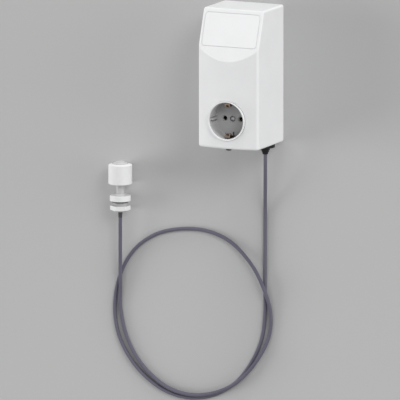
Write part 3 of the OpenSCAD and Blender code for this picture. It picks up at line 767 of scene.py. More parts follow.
@dataclass
class Studio:
    """Camera, floor and lamps."""

    azimuth: float = 25.0  # turn of the camera to the case's right, in degrees
    elevation: float = 10.0  # height of the camera above the case's normal, in degrees
    target: Triple = (-64.01, -102.67, 17.5)  # point that the camera looks at, in millimetres
    distance: float = 15000.0  # distance of the camera in millimetres
    width: float = 436.1  # width of the view at that distance, in millimetres
    sensor: float = 36.0  # width of the camera's sensor in millimetres
    reach: Pair = (1.0, 40.0)  # nearest and farthest that the camera sees, in metres
    floor_z: float = 17.5  # height of the surface that the unit lies on, in millimetres
    floor_size: float = 30.0  # size of that surface, in metres
    floor_drop: float = 0.05  # how far below the unit it lies, in millimetres
    floor_tone: float = 0.51  # colour of that surface, linear
    sky: float = 0.41  # light of the plain sky
    # Lamps on all four sides and before it
    lamps: tuple[Lamp, ...] = (
        Lamp("lamp_top", (0.15, 2.95, 0.27), 24, 1.7),
        Lamp("lamp_right", (2.95, 0.25, 0.47), 35, 1.1),
        Lamp("lamp_left", (-2.75, -0.45, 0.7), 31, 1.95),
        Lamp("lamp_front", (-1.35, 0.65, 2.37), 52, 0.18, mirrored=True),
        Lamp("lamp_key", (1.8, 1.4, 1.62), 23, 0.95),
    )

    def set_camera(self) -> None:
        """Makes the camera, with the case's +Y upright in its view."""
        turn, rise = math.radians(self.azimuth), math.radians(self.elevation)
        out = Vector((math.sin(turn) * math.cos(rise), math.sin(rise),
                      math.cos(turn) * math.cos(rise)))
        right = Vector((0, 1, 0)).cross(out).normalized()
        up = out.cross(right)
        data = bpy.data.cameras.new("camera")
        data.sensor_width = self.sensor
        data.lens = self.sensor * self.distance / self.width
        data.clip_start, data.clip_end = self.reach
        camera = bpy.data.objects.new("camera", data)
        bpy.context.scene.collection.objects.link(camera)
        place = Matrix((right, up, out)).transposed().to_4x4()
        place.translation = Vector(self.target) * MM + out * self.distance * MM
        camera.matrix_world = place
        bpy.context.scene.camera = camera

    def lay_floor(self) -> None:
        """Pale surface that the unit lies on, clear when seen from below."""
        sheet = NodeSheet("studio_floor")
        tone = (self.floor_tone,) * 3
        sheet.colour(sheet.blend(sheet.noise(900.0, 1.0), tinted(tone, 0.985), tinted(tone, 1.015)))
        sheet.roughness(sheet.spread(sheet.noise(200.0), 0.85, 0.95))
        sheet.constant("Specular IOR Level", 0.2)
        mix = sheet.add("ShaderNodeMixShader")
        sheet.link(sheet.add("ShaderNodeNewGeometry").outputs["Backfacing"], mix.inputs[0])
        sheet.link(sheet.shader.outputs[0], mix.inputs[1])
        sheet.link(sheet.add("ShaderNodeBsdfTransparent").outputs[0], mix.inputs[2])
        sheet.link(mix.outputs[0], sheet.tree.nodes["Material Output"].inputs["Surface"])
        height = (self.floor_z - self.floor_drop) * MM
        floor = Workpiece.started("floor", bpy.ops.mesh.primitive_plane_add,
                                  size=self.floor_size, location=(0, 0, height)).settle().obj
        floor.data.materials.append(sheet.made)

    def light(self) -> None:
        """Even light from all round: a plain sky, and soft lamps on all four sides."""
        world = bpy.data.worlds.new("studio")
        world.use_nodes = True
        background = world.node_tree.nodes["Background"]
        background.inputs["Color"].default_value = (1.0, 1.0, 1.0, 1.0)
        background.inputs["Strength"].default_value = self.sky
        bpy.context.scene.world = world
        for lamp in self.lamps:
            lamp.hang()
        bpy.context.scene.view_settings.view_transform = "Standard"

    def build(self) -> None:
        """Sets up the camera, the floor and the lamps."""
        self.set_camera()
        self.lay_floor()
        self.light()


@dataclass
class SensorLead:
    """Lead from the gland to the float switch, as it lies."""

    diameter: float = 4.0  # its diameter
    free_length: float = 1170.0  # its length outside the gland
    exit: Triple = (24.0, -41.2, 38.4)  # where it leaves the gland
    steps: int = 12  # facets between two points of the route
    # Chosen points on the centre line
    route: tuple[Triple, ...] = (
        (24, -26, 38.4), (24, -44, 38.4), (22.9, -62, 36), (19.2, -84, 28.1), (15.8, -105, 21),
        (15, -126, 19.5), (15, -160, 19.5), (15, -194, 19.5), (15, -222, 19.5), (11, -251, 19.5),
        (-2, -279, 19.5), (-22, -303, 19.5), (-50, -318.5, 19.5), (-81, -322.5, 19.5),
        (-112, -314, 19.5), (-141, -292, 19.5), (-160, -262, 19.5), (-166, -229, 19.5),
        (-160, -194, 19.5), (-143, -164, 19.5), (-117, -144.5, 19.5), (-86, -136, 19.5),
        (-54, -136, 19.5), (-25, -146.5, 20), (0, -168.5, 22.5), (15, -193, 23.8),
        (22, -220, 20.5), (19.5, -248, 19.7), (5, -277, 22.6), (-18, -301, 23.8),
        (-46, -314.5, 23.6), (-76, -318.3, 22.6), (-106, -311, 20.4), (-133, -290.5, 19.5),
        (-151, -262, 19.5), (-159, -230, 19.5), (-158.2, -206, 21.6), (-156.8, -184, 24.8),
        (-155, -160, 28.6), (-154.1, -138, 30.4), (-154, -116, 30.5),
    )

    def centre_line(self) -> list[Vector]:
        """Runs a smooth curve through the route.

        Returns:
            Its points, in metres.
        """
        points = [Vector(point) * MM for point in self.route]
        last = len(points) - 1
        line: list[Vector] = []
        for index in range(last):
            a, b = points[max(index - 1, 0)], points[index]
            c, d = points[index + 1], points[min(index + 2, last)]
            for step in range(self.steps):
                t = step / self.steps
                line.append(0.5 * (2 * b + (c - a) * t + (2 * a - 5 * b + 4 * c - d) * t * t
                                   + (3 * b - a - 3 * c + d) * t ** 3))
        line.append(points[last])
        return line

    def build(self, finishes: Finishes) -> None:
        """Lays the lead along its route.

        Args:
            finishes: Finishes of the unit.
        """
        line = self.centre_line()
        curve = bpy.data.curves.new("sensor_lead", "CURVE")
        curve.dimensions = "3D"
        curve.bevel_depth = self.diameter / 2 * MM
        curve.bevel_resolution = 6
        curve.use_fill_caps = True
        spline = curve.splines.new("POLY")
        spline.points.add(len(line) - 1)
        for point, place in zip(spline.points, line):
            point.co = (*place, 1.0)
        spline.use_smooth = True
        lead = bpy.data.objects.new("sensor_lead", curve)
        bpy.context.scene.collection.objects.link(lead)
        curve.materials.append(finishes.cord.material())
        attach(lead, Body.CASE.value)
        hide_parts("sensor_cord")
        log.info("sensor_lead: %d points", len(line))


@dataclass
class HousingHood:
    """Deep cover of the case, with the bare plate in its slope."""

    width: float = 71.8  # width of the case
    bottom: float = -31.0  # height of its lower end on Y
    top: float = 120.0  # height of its upper end
    back: float = 17.5  # its open back on Z
    corner: float = 82.5  # where its slope starts on Z, at the corners
    bow: float = 5.0  # how far the front stands out at its middle
    corner_r: float = 4.0  # radius of the long front corners
    edge_r: float = 2.5  # radius of the other edges
    wall: float = 2.5  # thickness of its wall
    slope_foot: float = 79.0  # height on Y where the slope starts
    slope_back: float = 14.4  # how far the slope goes back by the top
    label_size: Pair = (64.4, 36.8)  # width and length of the plate
    label_r: float = 3.5  # radius of the plate's corners
    label_gap: float = 5.0  # from the plate to the slope's upper end
    groove: float = 0.45  # width of the groove round the plate
    groove_depth: float = 0.8  # depth of the plate's seat
    collar_r: float = 21.85  # outer radius of the collar round the socket
    collar_bore: float = 21.15  # radius that takes the socket's cup
    opening_r: float = 20.25  # radius of the opening in the collar's lip
    rim: float = 88.6  # face of the collar on Z
    lip_t: float = 1.6  # thickness of the lip
    edge_t: float = 0.7  # thickness of the collar's overhanging edge
    neck_r: float = 21.4  # radius of the collar below that edge
    seam_w: float = 0.25  # how far the seam reaches out past the collar
    seam_depth: float = 1.1  # depth of the seam at the crown
    gland_at: Pair = (24.0, 38.4)  # place of the gland's hole on X and Z
    gland_r: float = 5.8  # radius of the gland's hole
    button_z: float = 80.8  # place of the button's hole on Z
    button_r: float = 3.4  # radius of the button's hole

    @property
    def bow_r(self) -> float:
        """Radius of the bowed front."""
        return ((self.width / 2) ** 2 + self.bow ** 2) / (2 * self.bow)

    @property
    def slope_angle(self) -> float:
        """Angle of the slope to the case's back, in radians."""
        return math.atan2(self.slope_back, self.top - self.slope_foot)

    @property
    def slope_normal(self) -> Vector:
        """Direction that the slope faces."""
        return Vector((0, math.sin(self.slope_angle), math.cos(self.slope_angle)))

    def plan(self) -> list[Pair]:
        """Draws the section square to the case's height, with the bowed front.

        Returns:
            Its points on X and Z.
        """
        half = self.width / 2
        bow_z = self.corner + self.bow - self.bow_r
        corner_x = half - self.corner_r
        corner_z = bow_z + math.sqrt((self.bow_r - self.corner_r) ** 2 - corner_x ** 2)
        turn = math.atan2(corner_z - bow_z, corner_x)
        right = arc((corner_x, corner_z), self.corner_r, 0, turn, 9)[:-1]
        front = arc((0, bow_z), self.bow_r, turn, math.pi - 2 * turn, 40)
        left = [(-x, z) for x, z in reversed(right)]
        return [(half, self.back), *right, *front, *left, (-half, self.back)]

    def on_slope(self) -> Matrix:
        """Finds the middle of the bare plate.

        Returns:
            Its place, facing out of the slope.
        """
        length = math.hypot(self.slope_back, self.top - self.slope_foot)
        along = length - self.label_gap - self.label_size[1] / 2
        foot = Matrix.Translation((0, self.slope_foot * MM, self.corner * MM))
        lean = Matrix.Rotation(-self.slope_angle, 4, "X")
        return foot @ lean @ Matrix.Translation((0, along * MM, 0))

    def weigh_edges(self, hood: Workpiece) -> None:
        """Marks the edges of the ends and the slope, so that one radius runs round them all.

        Args:
            hood: The raised hood.
        """
        slope = self.slope_normal
        with hood.editing() as mesh:
            weight = mesh.edges.layers.float.new("bevel_weight_edge")
            for edge in mesh.edges:
                if len(edge.link_faces) < 2:
                    continue
                if any(abs(face.normal.y) > 0.999 or face.normal.dot(slope) > 0.99999
                       for face in edge.link_faces):
                    edge[weight] = min(1.0, math.tan(edge.calc_face_angle() / 2))
            bmesh.update_edit_mesh(hood.obj.data)

    def shell(self) -> Workpiece:
        """Raises the plan, and slopes, opens, rounds and hollows it.

        Returns:
            The walls of the hood.
        """
        hood = Workpiece.cut_out("housing_shell", self.plan(), -self.top, -self.bottom,
                                 placed(0, 0, 0, Facing.DOWN))
        with hood.editing():
            pick_all()
            bpy.ops.mesh.bisect(plane_co=(0, self.slope_foot * MM, self.corner * MM),
                                plane_no=self.slope_normal, use_fill=True, clear_outer=True)
            bpy.ops.mesh.select_all(action="DESELECT")
            bpy.ops.mesh.select_mode(type="FACE")
            mesh = bmesh.from_edit_mesh(hood.obj.data)
            for face in mesh.faces:
                face.select = face.normal.z < -0.99
            bmesh.update_edit_mesh(hood.obj.data)
            bpy.ops.mesh.delete(type="ONLY_FACE")
            face_outwards()
        self.weigh_edges(hood)
        hood.apply("BEVEL", width=self.edge_r * MM, segments=6, limit_method="WEIGHT",
                   use_clamp_overlap=False)
        return hood.apply("SOLIDIFY", thickness=self.wall * MM, offset=-1.0, use_even_offset=True)

    def collar(self) -> Workpiece:
        """Turns the collar round the socket.

        Returns:
            The ring, with a lip over the cup's edge.
        """
        low = self.corner - self.wall
        lip, edge = self.rim - self.lip_t, self.rim - self.edge_t
        return Workpiece.turned("collar", [
            (self.collar_bore, low), (self.collar_bore, lip), (self.opening_r, lip),
            (self.opening_r, self.rim, 0.5), (self.collar_r, self.rim, 0.3),
            (self.collar_r, edge, 0.1), (self.neck_r, edge), (self.neck_r, low),
        ], ring=True, steps=128)

    def seam(self) -> Workpiece:
        """Shapes the cutter of the fine groove round the collar's foot.

        Returns:
            The cutter, which follows the bowed front.
        """
        inner, outer = self.neck_r - SEAT_GAP, self.collar_r + self.seam_w
        crown = self.corner + self.bow
        low, high = crown - self.seam_depth, crown + 0.5
        seam = Workpiece.turned("seam", [(inner, low), (outer, low), (outer, high), (inner, high)],
                                ring=True, steps=128)
        with seam.editing() as mesh:
            for vertex in mesh.verts:
                across = vertex.co.x / MM
                vertex.co.z -= (self.bow_r - math.sqrt(self.bow_r ** 2 - across ** 2)) * MM
            bmesh.update_edit_mesh(seam.obj.data)
        return seam

    def plate(self, name: str, groove: float, high: float) -> Workpiece:
        """Cuts out the bare plate, or the cutter of its seat.

        Args:
            name: Name of the piece.
            groove: How far it stands out past the plate all round.
            high: Height of its upper face above the slope.

        Returns:
            The piece.
        """
        width, length = (size + 2 * groove for size in self.label_size)
        outline = rectangle(width, length, self.label_r + groove)
        return Workpiece.cut_out(name, outline, -self.groove_depth, high, self.on_slope())

    def build(self, finishes: Finishes) -> None:
        """Makes the hood and the bare plate.

        Args:
            finishes: Finishes of the unit.
        """
        hood = self.shell()
        drill_r = (self.collar_bore + self.neck_r) / 2
        hood.cut(Workpiece.drill(drill_r, self.corner - 10, self.rim, sides=128))
        hood.weld(self.collar()).cut(self.seam()).cut(self.plate("seat", self.groove, 5.0))
        gland_x, gland_z = self.gland_at
        for radius, x, z, sides in ((self.gland_r, gland_x, gland_z, 96),
                                    (self.button_r, 0, self.button_z, 64)):
            place = placed(x, self.bottom, z, Facing.DOWN)
            hood.cut(Workpiece.drill(radius, -self.wall - PAST, PAST, place, sides))
        hood.clean().smooth(32).dress(finishes.housing, Body.CASE, "housing_hood")
        plate = self.plate("label_face", 0.0, 0.0)
        plate.ease(0.15, 3).smooth(32).dress(finishes.label, Body.CASE, "label_plate")


@dataclass
class SocketInsert:
    """Grey cup of the socket, with its screw."""

    outer_r: float = 20.95  # outer radius of the cup
    recess_r: float = 19.75  # radius of the recess
    back: float = 68.1  # back of the recess floor on Z
    floor: float = 71.1  # face of the recess floor
    lip: float = 87.0  # upper edge of the cup, under the hood's lip
    pin_x: float = 9.5  # distance of the pin holes from the middle
    pin_r: float = 2.35  # radius of the pin holes
    flare: Pair = (0.9, 1.4)  # how much wider and how deep the mouth of a pin hole is
    rib_w: float = 5.0  # width of the ribs at the sides
    rib_in: float = 1.6  # how far the ribs stand into the recess
    rib_root: Pair = (0.6, 0.5)  # how far they reach into wall and floor
    rib_top: float = 83.6  # upper end of the ribs on Z
    # Lower and upper side of each slot in the ribs, on Y
    slots: tuple[Pair, Pair] = ((1.3, 2.6), (-2.0, -1.1))
    slot_end: float = 1.0  # how far the slots reach into the wall
    slot_foot: float = 0.4  # lower end of the slots above the floor
    window_w: float = 7.0  # width of the windows that the springs move in
    window_y: float = 18.1  # where the windows start, from the middle
    window_top: float = 86.2  # upper end of windows and slots on Z
    cheek_x: float = 7.5  # far side of the opening beside each spring
    cheek: Pair = (71.4, 77.5)  # lower and upper end of that opening on Z
    notch_x: float = 1.1  # how far the floor's notch stands off the middle
    notch_y: float = 14.4  # where the notch starts, from the middle
    notch_w: float = 1.8  # width of the notch
    screw_r: float = 2.4  # radius of the screw's head
    screw_head: float = 1.2  # height of the head
    seat_r: float = 3.25  # radius of the moat round the head
    moat: float = 0.6  # floor that is left under the moat
    cross: Pair = (1.5, 0.32)  # half length and half width of the cross in the head
    cross_low: float = 0.45  # floor of the cross above the head's seat
    shank_r: float = 1.5  # radius of the screw's shank
    shank_l: float = 9.0  # length of the shank
    pad_low: Triple = (-3.5, -22.6, 76.8)  # corner of the pad that carries the mute switch
    pad_high: Triple = (3.5, -18.6, 79.2)  # its opposite corner

    def add_rib(self, cup: Workpiece, side: int) -> None:
        """Adds a slotted rib.

        Args:
            cup: The cup.
            side: 1 on the right, -1 on the left.
        """
        inner, outer = self.recess_r - self.rib_in, self.recess_r + self.rib_root[0]
        rib = Workpiece.block("rib", (side * inner, -self.rib_w / 2, self.floor - self.rib_root[1]),
                              (side * outer, self.rib_w / 2, self.rib_top))
        cup.weld(rib.ease(0.5, 3))
        near, far = side * (inner - CUT), side * (self.recess_r + self.slot_end)
        for low, high in self.slots:
            cup.cut(Workpiece.block("slot", (near, low, self.floor + self.slot_foot),
                                    (far, high, self.window_top)))

    def open_side(self, cup: Workpiece, side: int) -> None:
        """Cuts the openings round a spring, and a pin hole.

        Args:
            cup: The cup.
            side: 1 for the upper spring and the right hole, -1 for the others.
        """
        near, far = side * self.window_y, side * (self.outer_r + 2)
        half, middle, low = self.window_w / 2, -side * self.notch_x, self.back - PAST
        for start, end in (
            ((-half, near, low), (half, far, self.window_top)),
            ((side * (half - CUT), near, self.cheek[0]),
             (side * (self.cheek_x + CUT), far, self.cheek[1])),
            ((middle - self.notch_w / 2, side * self.notch_y, low),
             (middle + self.notch_w / 2, side * (self.window_y + CUT), self.floor + CUT)),
        ):
            cup.cut(Workpiece.block("window", start, end))
        wider, deep = self.flare
        cup.cut(Workpiece.turned("drill", [
            (0, low), (self.pin_r, low), (self.pin_r, self.floor - deep),
            (self.pin_r + wider, self.floor + CUT), (0, self.floor + CUT),
        ], placed(side * self.pin_x, 0, 0), steps=64))

    def cup(self) -> Workpiece:
        """Shapes the cup, with its ribs, windows, pin holes and the screw's seat.

        Returns:
            The cup.
        """
        cup = Workpiece.turned("socket_insert", [
            (0, self.back), (self.outer_r, self.back, 0.4), (self.outer_r, self.lip, 0.3),
            (self.recess_r, self.lip, 0.3), (self.recess_r, self.floor, 0.8), (0, self.floor),
        ], steps=128)
        for side in (-1, 1):
            self.add_rib(cup, side)
        cup.weld(Workpiece.block("pad", self.pad_low, self.pad_high))
        for side in (-1, 1):
            self.open_side(cup, side)
        low, seat, high = self.back - PAST, self.floor - self.screw_head, self.floor + CUT
        hole_r, core_r, moat = self.shank_r + SEAT_GAP, self.screw_r - CUT, self.back + self.moat
        cup.cut(Workpiece.turned("drill", [
            (0, low), (hole_r, low), (hole_r, seat), (core_r, seat), (core_r, moat),
            (self.seat_r, moat), (self.seat_r, high), (0, high),
        ], steps=64))
        return cup.clean()

    def screw(self) -> Workpiece:
        """Shapes the pan-head screw with its cross recess.

        Returns:
            The screw.
        """
        seat, half = self.floor - self.screw_head, self.screw_head * 0.5
        screw = Workpiece.turned("socket_centre_screw", [
            (0, seat - self.shank_l), (self.shank_r - 0.4, seat - self.shank_l),
            (self.shank_r, seat - self.shank_l + 0.5), (self.shank_r, seat),
            (self.screw_r, seat, 0.1), (self.screw_r, seat + half, 0.4),
            (self.screw_r * 0.6, self.floor, 0.6), (0, self.floor),
        ], steps=48)
        for across, along in (self.cross, self.cross[::-1]):
            screw.cut(Workpiece.block("cross", (-across, -along, seat + self.cross_low),
                                      (across, along, seat + 2)))
        return screw

    def build(self, finishes: Finishes) -> None:
        """Makes the cup and its screw."""
        self.cup().smooth().dress(finishes.socket, Body.CASE, "socket_cup")
        self.screw().clean().smooth().dress(finishes.steel, Body.CASE, "socket_screw")


@dataclass
class EarthClips:
    """The two springs of the side earth."""

    width: float = 6.4  # width of the strip
    strip_t: float = 1.1  # thickness of the strip
    skew: float = 0.4  # how much lower its outer face ends
    foot: float = 18.6  # inner face of the strip's foot, from the socket's middle
    bulge: float = 14.0  # inner face where it presses on the plug
    back: float = 68.5  # lower end of the foot's inner face on Z
    knee: float = 74.1  # where it turns inwards on Z
    top: float = 85.6  # free end on Z
    flap: float = 2.4  # height of the free end that leans back outwards
    flap_in: float = 0.9  # how far its tip stays inside the foot, so that it clears the collar
    hole_r: float = 1.7  # radius of the hole in the free end

    def clip(self, name: str, side: int) -> Workpiece:
        """Cuts out one spring and drills it.

        Args:
            name: Name of the piece.
            side: 1 for the one above the socket's middle, -1 for the one below.

        Returns:
            The spring.
        """
        face = rounded_path([
            (self.foot, self.back), (self.foot, self.knee, 2.5),
            (self.bulge, self.top - self.flap, 0.8), (self.foot - self.flap_in, self.top),
        ])
        outer = [(across + self.strip_t, along - self.skew) for across, along in reversed(face)]
        lay = Matrix.Rotation(math.pi / 2, 4, "Z") @ Matrix.Rotation(math.pi / 2, 4, "X")
        clip = Workpiece.cut_out(name, [*face, *outer], -self.width / 2, self.width / 2, lay)
        reach = self.foot - self.flap_in - self.bulge
        lean = Matrix.Rotation(math.atan2(self.flap, reach), 4, "X")
        hole = placed(0, self.bulge + reach / 2, self.top - self.flap / 2) @ lean
        clip.cut(Workpiece.drill(self.hole_r, -2, 2, hole, 32))
        clip.ease(0.14, 2, 40)
        return clip.settle(Matrix.Rotation(math.pi, 4, "Z")) if side < 0 else clip

    def build(self, finishes: Finishes) -> None:
        """Makes both springs."""
        for name, side, body in (("upper", 1, Body.UPPER_CLIP), ("lower", -1, Body.LOWER_CLIP)):
            clip = self.clip(f"earth_spring_{name}", side)
            clip.smooth(32).dress(finishes.earth, body, f"earth_clip_{name}")


@dataclass
class MuteButton:
    """Small black button in the underside."""

    radius: float = 3.1  # its radius
    z: float = 80.8  # its place on Z
    tip: float = -33.0  # where its tip is on Y
    inner: float = -26.3  # where it meets the switch on Y
    flange_r: float = 3.6  # radius of the flange that holds it in the case
    flange_y: float = -28.2  # outer face of that flange on Y
    flange_t: float = 0.8  # thickness of the flange
    rod_r: float = 1.2  # radius of the rod to the switch
    # Insets of the rim and the floor of the dish in its tip, and its depth there and in the middle
    dish: tuple[Pair, Pair] = ((0.7, 1.1), (0.25, 0.35))

    def build(self, finishes: Finishes) -> None:
        """Makes the button, with a dished tip.

        Args:
            finishes: Finishes of the unit.
        """
        inner, low, high, tip = (-self.inner, -self.flange_y - self.flange_t, -self.flange_y,
                                 -self.tip)
        (rim, floor), (depth, middle) = self.dish
        button = Workpiece.turned("mute_key", [
            (0, inner), (self.rod_r, inner), (self.rod_r, low), (self.flange_r, low, 0.15),
            (self.flange_r, high, 0.15), (self.radius, high), (self.radius, tip, 0.5),
            (self.radius - rim, tip, 0.3), (self.radius - floor, tip - depth, 0.3),
            (0, tip - middle),
        ], placed(0, 0, self.z, Facing.DOWN), steps=64)
        button.smooth().dress(finishes.black, Body.BUTTON, "mute_button")


@dataclass
class CableGland:
    """Black gland with its short bend relief."""

    x: float = 24.0  # its place on X
    z: float = 38.4  # its place on Z
    seat: float = -31.0  # the case's underside on Y
    flange_r: float = 10.5  # radius of its flange
    flange_t: float = 3.8  # thickness of its flange
    root_r: float = 6.0  # radius of the relief at its root
    tip_r: float = 2.9  # radius of the relief at its tip
    tip: float = 11.2  # length from the seat to the relief's tip
    plain: float = 0.6  # length of the tip without grooves
    neck_r: float = 5.6  # radius of its neck in the wall
    neck_l: float = 6.2  # length of its neck
    bore_r: float = 2.05  # radius of its bore
    rings: int = 3  # grooves that let the relief bend
    ring_depth: float = 0.55  # depth of a groove
    # Share of the pitch and of the depth at each corner of a groove
    ring_shape: tuple[Pair, ...] = ((0.55, 0), (0.62, 1), (0.88, 1), (0.95, 0))
    notches: int = 8  # finger notches round the flange
    notch_r: float = 2.2  # radius of a notch
    notch_out: float = 1.6  # distance of its middle from the flange's edge
    notch_low: float = 0.7  # height of its foot above the seat

    def profile(self) -> list[Corner]:
        """Draws the gland's profile, with the relief's grooves.

        Returns:
            Its corners.
        """
        corners: list[Corner] = [
            (self.bore_r, -self.neck_l), (self.neck_r, -self.neck_l, 0.4), (self.neck_r, 0),
            (self.flange_r, 0, 0.3), (self.flange_r, self.flange_t, 1.4),
            (self.root_r, self.flange_t, 0.5),
        ]
        length = self.tip - self.flange_t - self.plain
        pitch = length / (self.rings + 0.5)
        for ring in range(self.rings):
            for share, depth in self.ring_shape:
                run = (ring + share) * pitch
                radius = self.root_r + (self.tip_r - self.root_r) * run / length
                corners.append((radius - depth * self.ring_depth, self.flange_t + run, 0.08))
        return [*corners, (self.tip_r, self.tip, 0.5), (self.bore_r, self.tip, 0.2)]

    def build(self, finishes: Finishes) -> None:
        """Makes the gland, with finger notches round its flange.

        Args:
            finishes: Finishes of the unit.
        """
        place = placed(self.x, self.seat, self.z, Facing.DOWN)
        gland = Workpiece.turned("lead_gland", self.profile(), place, ring=True, rounding=4)
        for notch in range(self.notches):
            angle = math.tau * (notch + 0.5) / self.notches
            out = Vector((math.cos(angle), math.sin(angle), 0)) * (self.flange_r + self.notch_out)
            gland.cut(Workpiece.drill(self.notch_r, self.notch_low, self.flange_t + PAST,
                                      place @ Matrix.Translation(out * MM), 32))
        gland.clean().smooth().dress(finishes.gland, Body.CASE, "cable_gland")


@dataclass
class FloatSwitch:
    """Small float switch at the lead's end, with its axis up the case.

    Heights run up the stem from the seat, the underside of the flange.
    """

    x: float = -154.0  # its axis on X
    seat: float = -108.0  # underside of its flange on Y
    z: float = 30.5  # its axis on Z
    flange_r: float = 11.4  # radius of the flange
    flange_t: float = 6.2  # thickness of the flange
    foot_rise: float = 0.5  # how far the flange rises to the stem's foot
    foot: Pair = (0.9, 0.7)  # width and height of the fillet round the stem
    stem_r: float = 4.3  # radius of the guide stem
    stem_wall: float = 1.3  # wall of the stem's upper end
    stem_in: float = 6.0  # how deep the stem sits in the flange
    float_r: float = 13.0  # radius of the float
    float_low: float = 18.7  # lower end of the float
    shoulder: float = 40.0  # upper end of the float's straight wall
    float_seat: float = 39.796  # where the cap rests in the float
    float_bore: float = 4.7  # radius of the float's bore
    magnet_r: float = 7.2  # radius of the magnet's pocket
    magnet_h: float = 6.0  # height of that pocket
    cap_r: float = 7.0  # radius of the cap's foot
    rim_r: float = 8.3  # radius of the cap's rim
    cap_gap: float = 0.45  # ring left open round the rim
    rim_drop: float = 0.1  # how much lower the float's edge is
    cap_low: float = 40.096  # lower face of the cap
    cap_edge: float = 41.596  # upper rim of the cap
    cap_top: float = 43.8  # top of the cap
    cap_top_r: float = 3.0  # radius of its flat top
    cap_t: float = 1.0  # thickness of the cap at its top
    # Radius inwards and rise at each corner of the step in the cap's cone
    step: tuple[Pair, ...] = ((0, 0), (0.3, -0.35), (0.15, 0.1))
    step_r: float = 5.2  # radius of that step
    thread_r: float = 8.0  # radius of the thread
    thread_l: float = 11.6  # length of the thread
    thread_rows: int = 60  # facets along the thread
    thread_in: float = 1.0  # how far above the thread's end its core ends and the seal starts
    pitch: float = 1.5  # pitch of the thread
    thread_depth: float = 0.7  # depth of the thread
    flank: Pair = (1.6, 0.3)  # slope of the thread's flanks, and width of its root
    bore_r: float = 2.2  # radius of the bore for the lead
    bore_top: float = 35.1  # upper end of that bore
    gasket_r: float = 9.1  # radius of the gasket
    gasket_t: float = 1.5  # thickness of the gasket
    nut_high: float = -5.1  # upper face of the nut
    nut_t: float = 5.0  # thickness of the nut
    nut_flats: float = 19.4  # width across the nut's flats
    nut_turn: float = 25.0  # turn of the nut in degrees
    nut_bevel: float = 0.6  # height of the nut's chamfers
    sleeve_l: float = 7.0  # length of the seal outside the thread
    sleeve_r: float = 2.12  # outer radius of the seal at its end
    sleeve_bore: float = 1.6  # radius of the seal's bore

    @property
    def place(self) -> Matrix:
        """Place of the seat, with local +Z up the stem."""
        return placed(self.x, self.seat, self.z, Facing.UP)

    def ring(self, name: str, corners: Sequence[Corner], steps: int = 96) -> Workpiece:
        """Ring turned about the switch's axis."""
        return Workpiece.turned(name, corners, self.place, ring=True, steps=steps)

    def float_body(self) -> Workpiece:
        """Turns the float.

        Returns:
            It, with a chamfered foot, a coned top and the seats of cap and magnet.
        """
        gap, pocket = self.rim_r + self.cap_gap, self.float_seat - self.magnet_h
        return self.ring("float_shell", [
            (self.float_bore, self.float_low, 0.3), (self.float_r, self.float_low, 1.0),
            (self.float_r, self.shoulder, 0.5), (gap, self.cap_edge - self.rim_drop, 0.2),
            (gap, self.float_seat), (self.magnet_r, self.float_seat), (self.magnet_r, pocket),
            (self.float_bore, pocket),
        ], steps=128)

    def cap(self) -> Workpiece:
        """Turns the coned cap that keeps the float on its stem.

        Returns:
            The cap, with a fine step in its cone.
        """
        bore, under = self.stem_r - self.stem_wall + SEAT_GAP, self.cap_top - self.cap_t
        slope = (self.cap_top - self.cap_edge) / (self.rim_r - self.cap_top_r)
        step = [(self.step_r - inwards,
                 self.cap_edge + slope * (self.rim_r - self.step_r + inwards) + rise)
                for inwards, rise in self.step]
        return self.ring("float_cap", [
            (bore, self.cap_low), (self.cap_r, self.cap_low, 0.2),
            (self.rim_r, self.cap_edge, 0.1), *step, (self.cap_top_r, self.cap_top, 0.8),
            (0, self.cap_top), (0, under), (bore, under),
        ])

    def flange(self) -> Workpiece:
        """Turns the flange, with its raised foot and the thread's core.

        Returns:
            The flange, bored for the stem and the lead.
        """
        core, end = self.thread_r - self.thread_depth - 0.1, self.thread_in - self.thread_l
        seat, top = self.stem_r + SEAT_GAP, self.flange_t + self.foot_rise
        wide, high = self.foot
        return self.ring("clamp_flange", [
            (self.bore_r, end), (core, end), (core, 0), (self.flange_r, 0, 0.5),
            (self.flange_r, self.flange_t, 0.9), (seat + wide, top, 0.3), (seat, top + high),
            (seat, -self.stem_in), (self.bore_r, -self.stem_in),
        ])

    def stem(self) -> Workpiece:
        """Turns the guide stem.

        Returns:
            The stem, bored for the lead and the reed switch.
        """
        neck, top = self.stem_r - self.stem_wall, self.cap_top - self.cap_t
        return self.ring("float_guide", [
            (self.bore_r, -self.stem_in), (self.stem_r, -self.stem_in, 0.3),
            (self.stem_r, self.cap_low), (neck, self.cap_low), (neck, top), (0, top),
            (0, self.bore_top), (self.bore_r, self.bore_top),
        ])

    def thread(self) -> Workpiece:
        """Shapes the thread below the flange.

        Returns:
            One helical ridge on a turned sleeve.
        """
        run, rows = self.thread_l, self.thread_rows
        wall = [(self.thread_r, -run + run * row / rows) for row in range(rows + 1)]
        sleeve = Workpiece.turned("thread", [(self.bore_r, 0), (self.bore_r, -run), *wall],
                                  ring=True)
        steep, root = self.flank
        with sleeve.editing() as mesh:
            for vertex in mesh.verts:
                radius = math.hypot(vertex.co.x, vertex.co.y) / MM
                height = vertex.co.z / MM
                if radius < self.thread_r - CUT:
                    continue
                turn = math.atan2(vertex.co.y, vertex.co.x) / math.tau
                wave = abs((height / self.pitch - turn) % 1.0 - 0.5) * 2
                depth = self.thread_depth * min(1.0, max(0.0, steep * wave - root))
                lead_in = max(0.0, 1.0 - (height + run)) * self.thread_depth
                share = (self.thread_r - max(depth, lead_in)) / self.thread_r
                vertex.co.x *= share
                vertex.co.y *= share
            bmesh.update_edit_mesh(sleeve.obj.data)
        return sleeve.settle(self.place)

    def gasket(self) -> Workpiece:
        """Turns the flat ring under the flange.

        Returns:
            The ring.
        """
        inner = self.thread_r + SEAT_GAP
        return self.ring("flange_seal", [
            (inner, 0), (self.gasket_r, 0, 0.35), (self.gasket_r, -self.gasket_t, 0.35),
            (inner, -self.gasket_t),
        ])

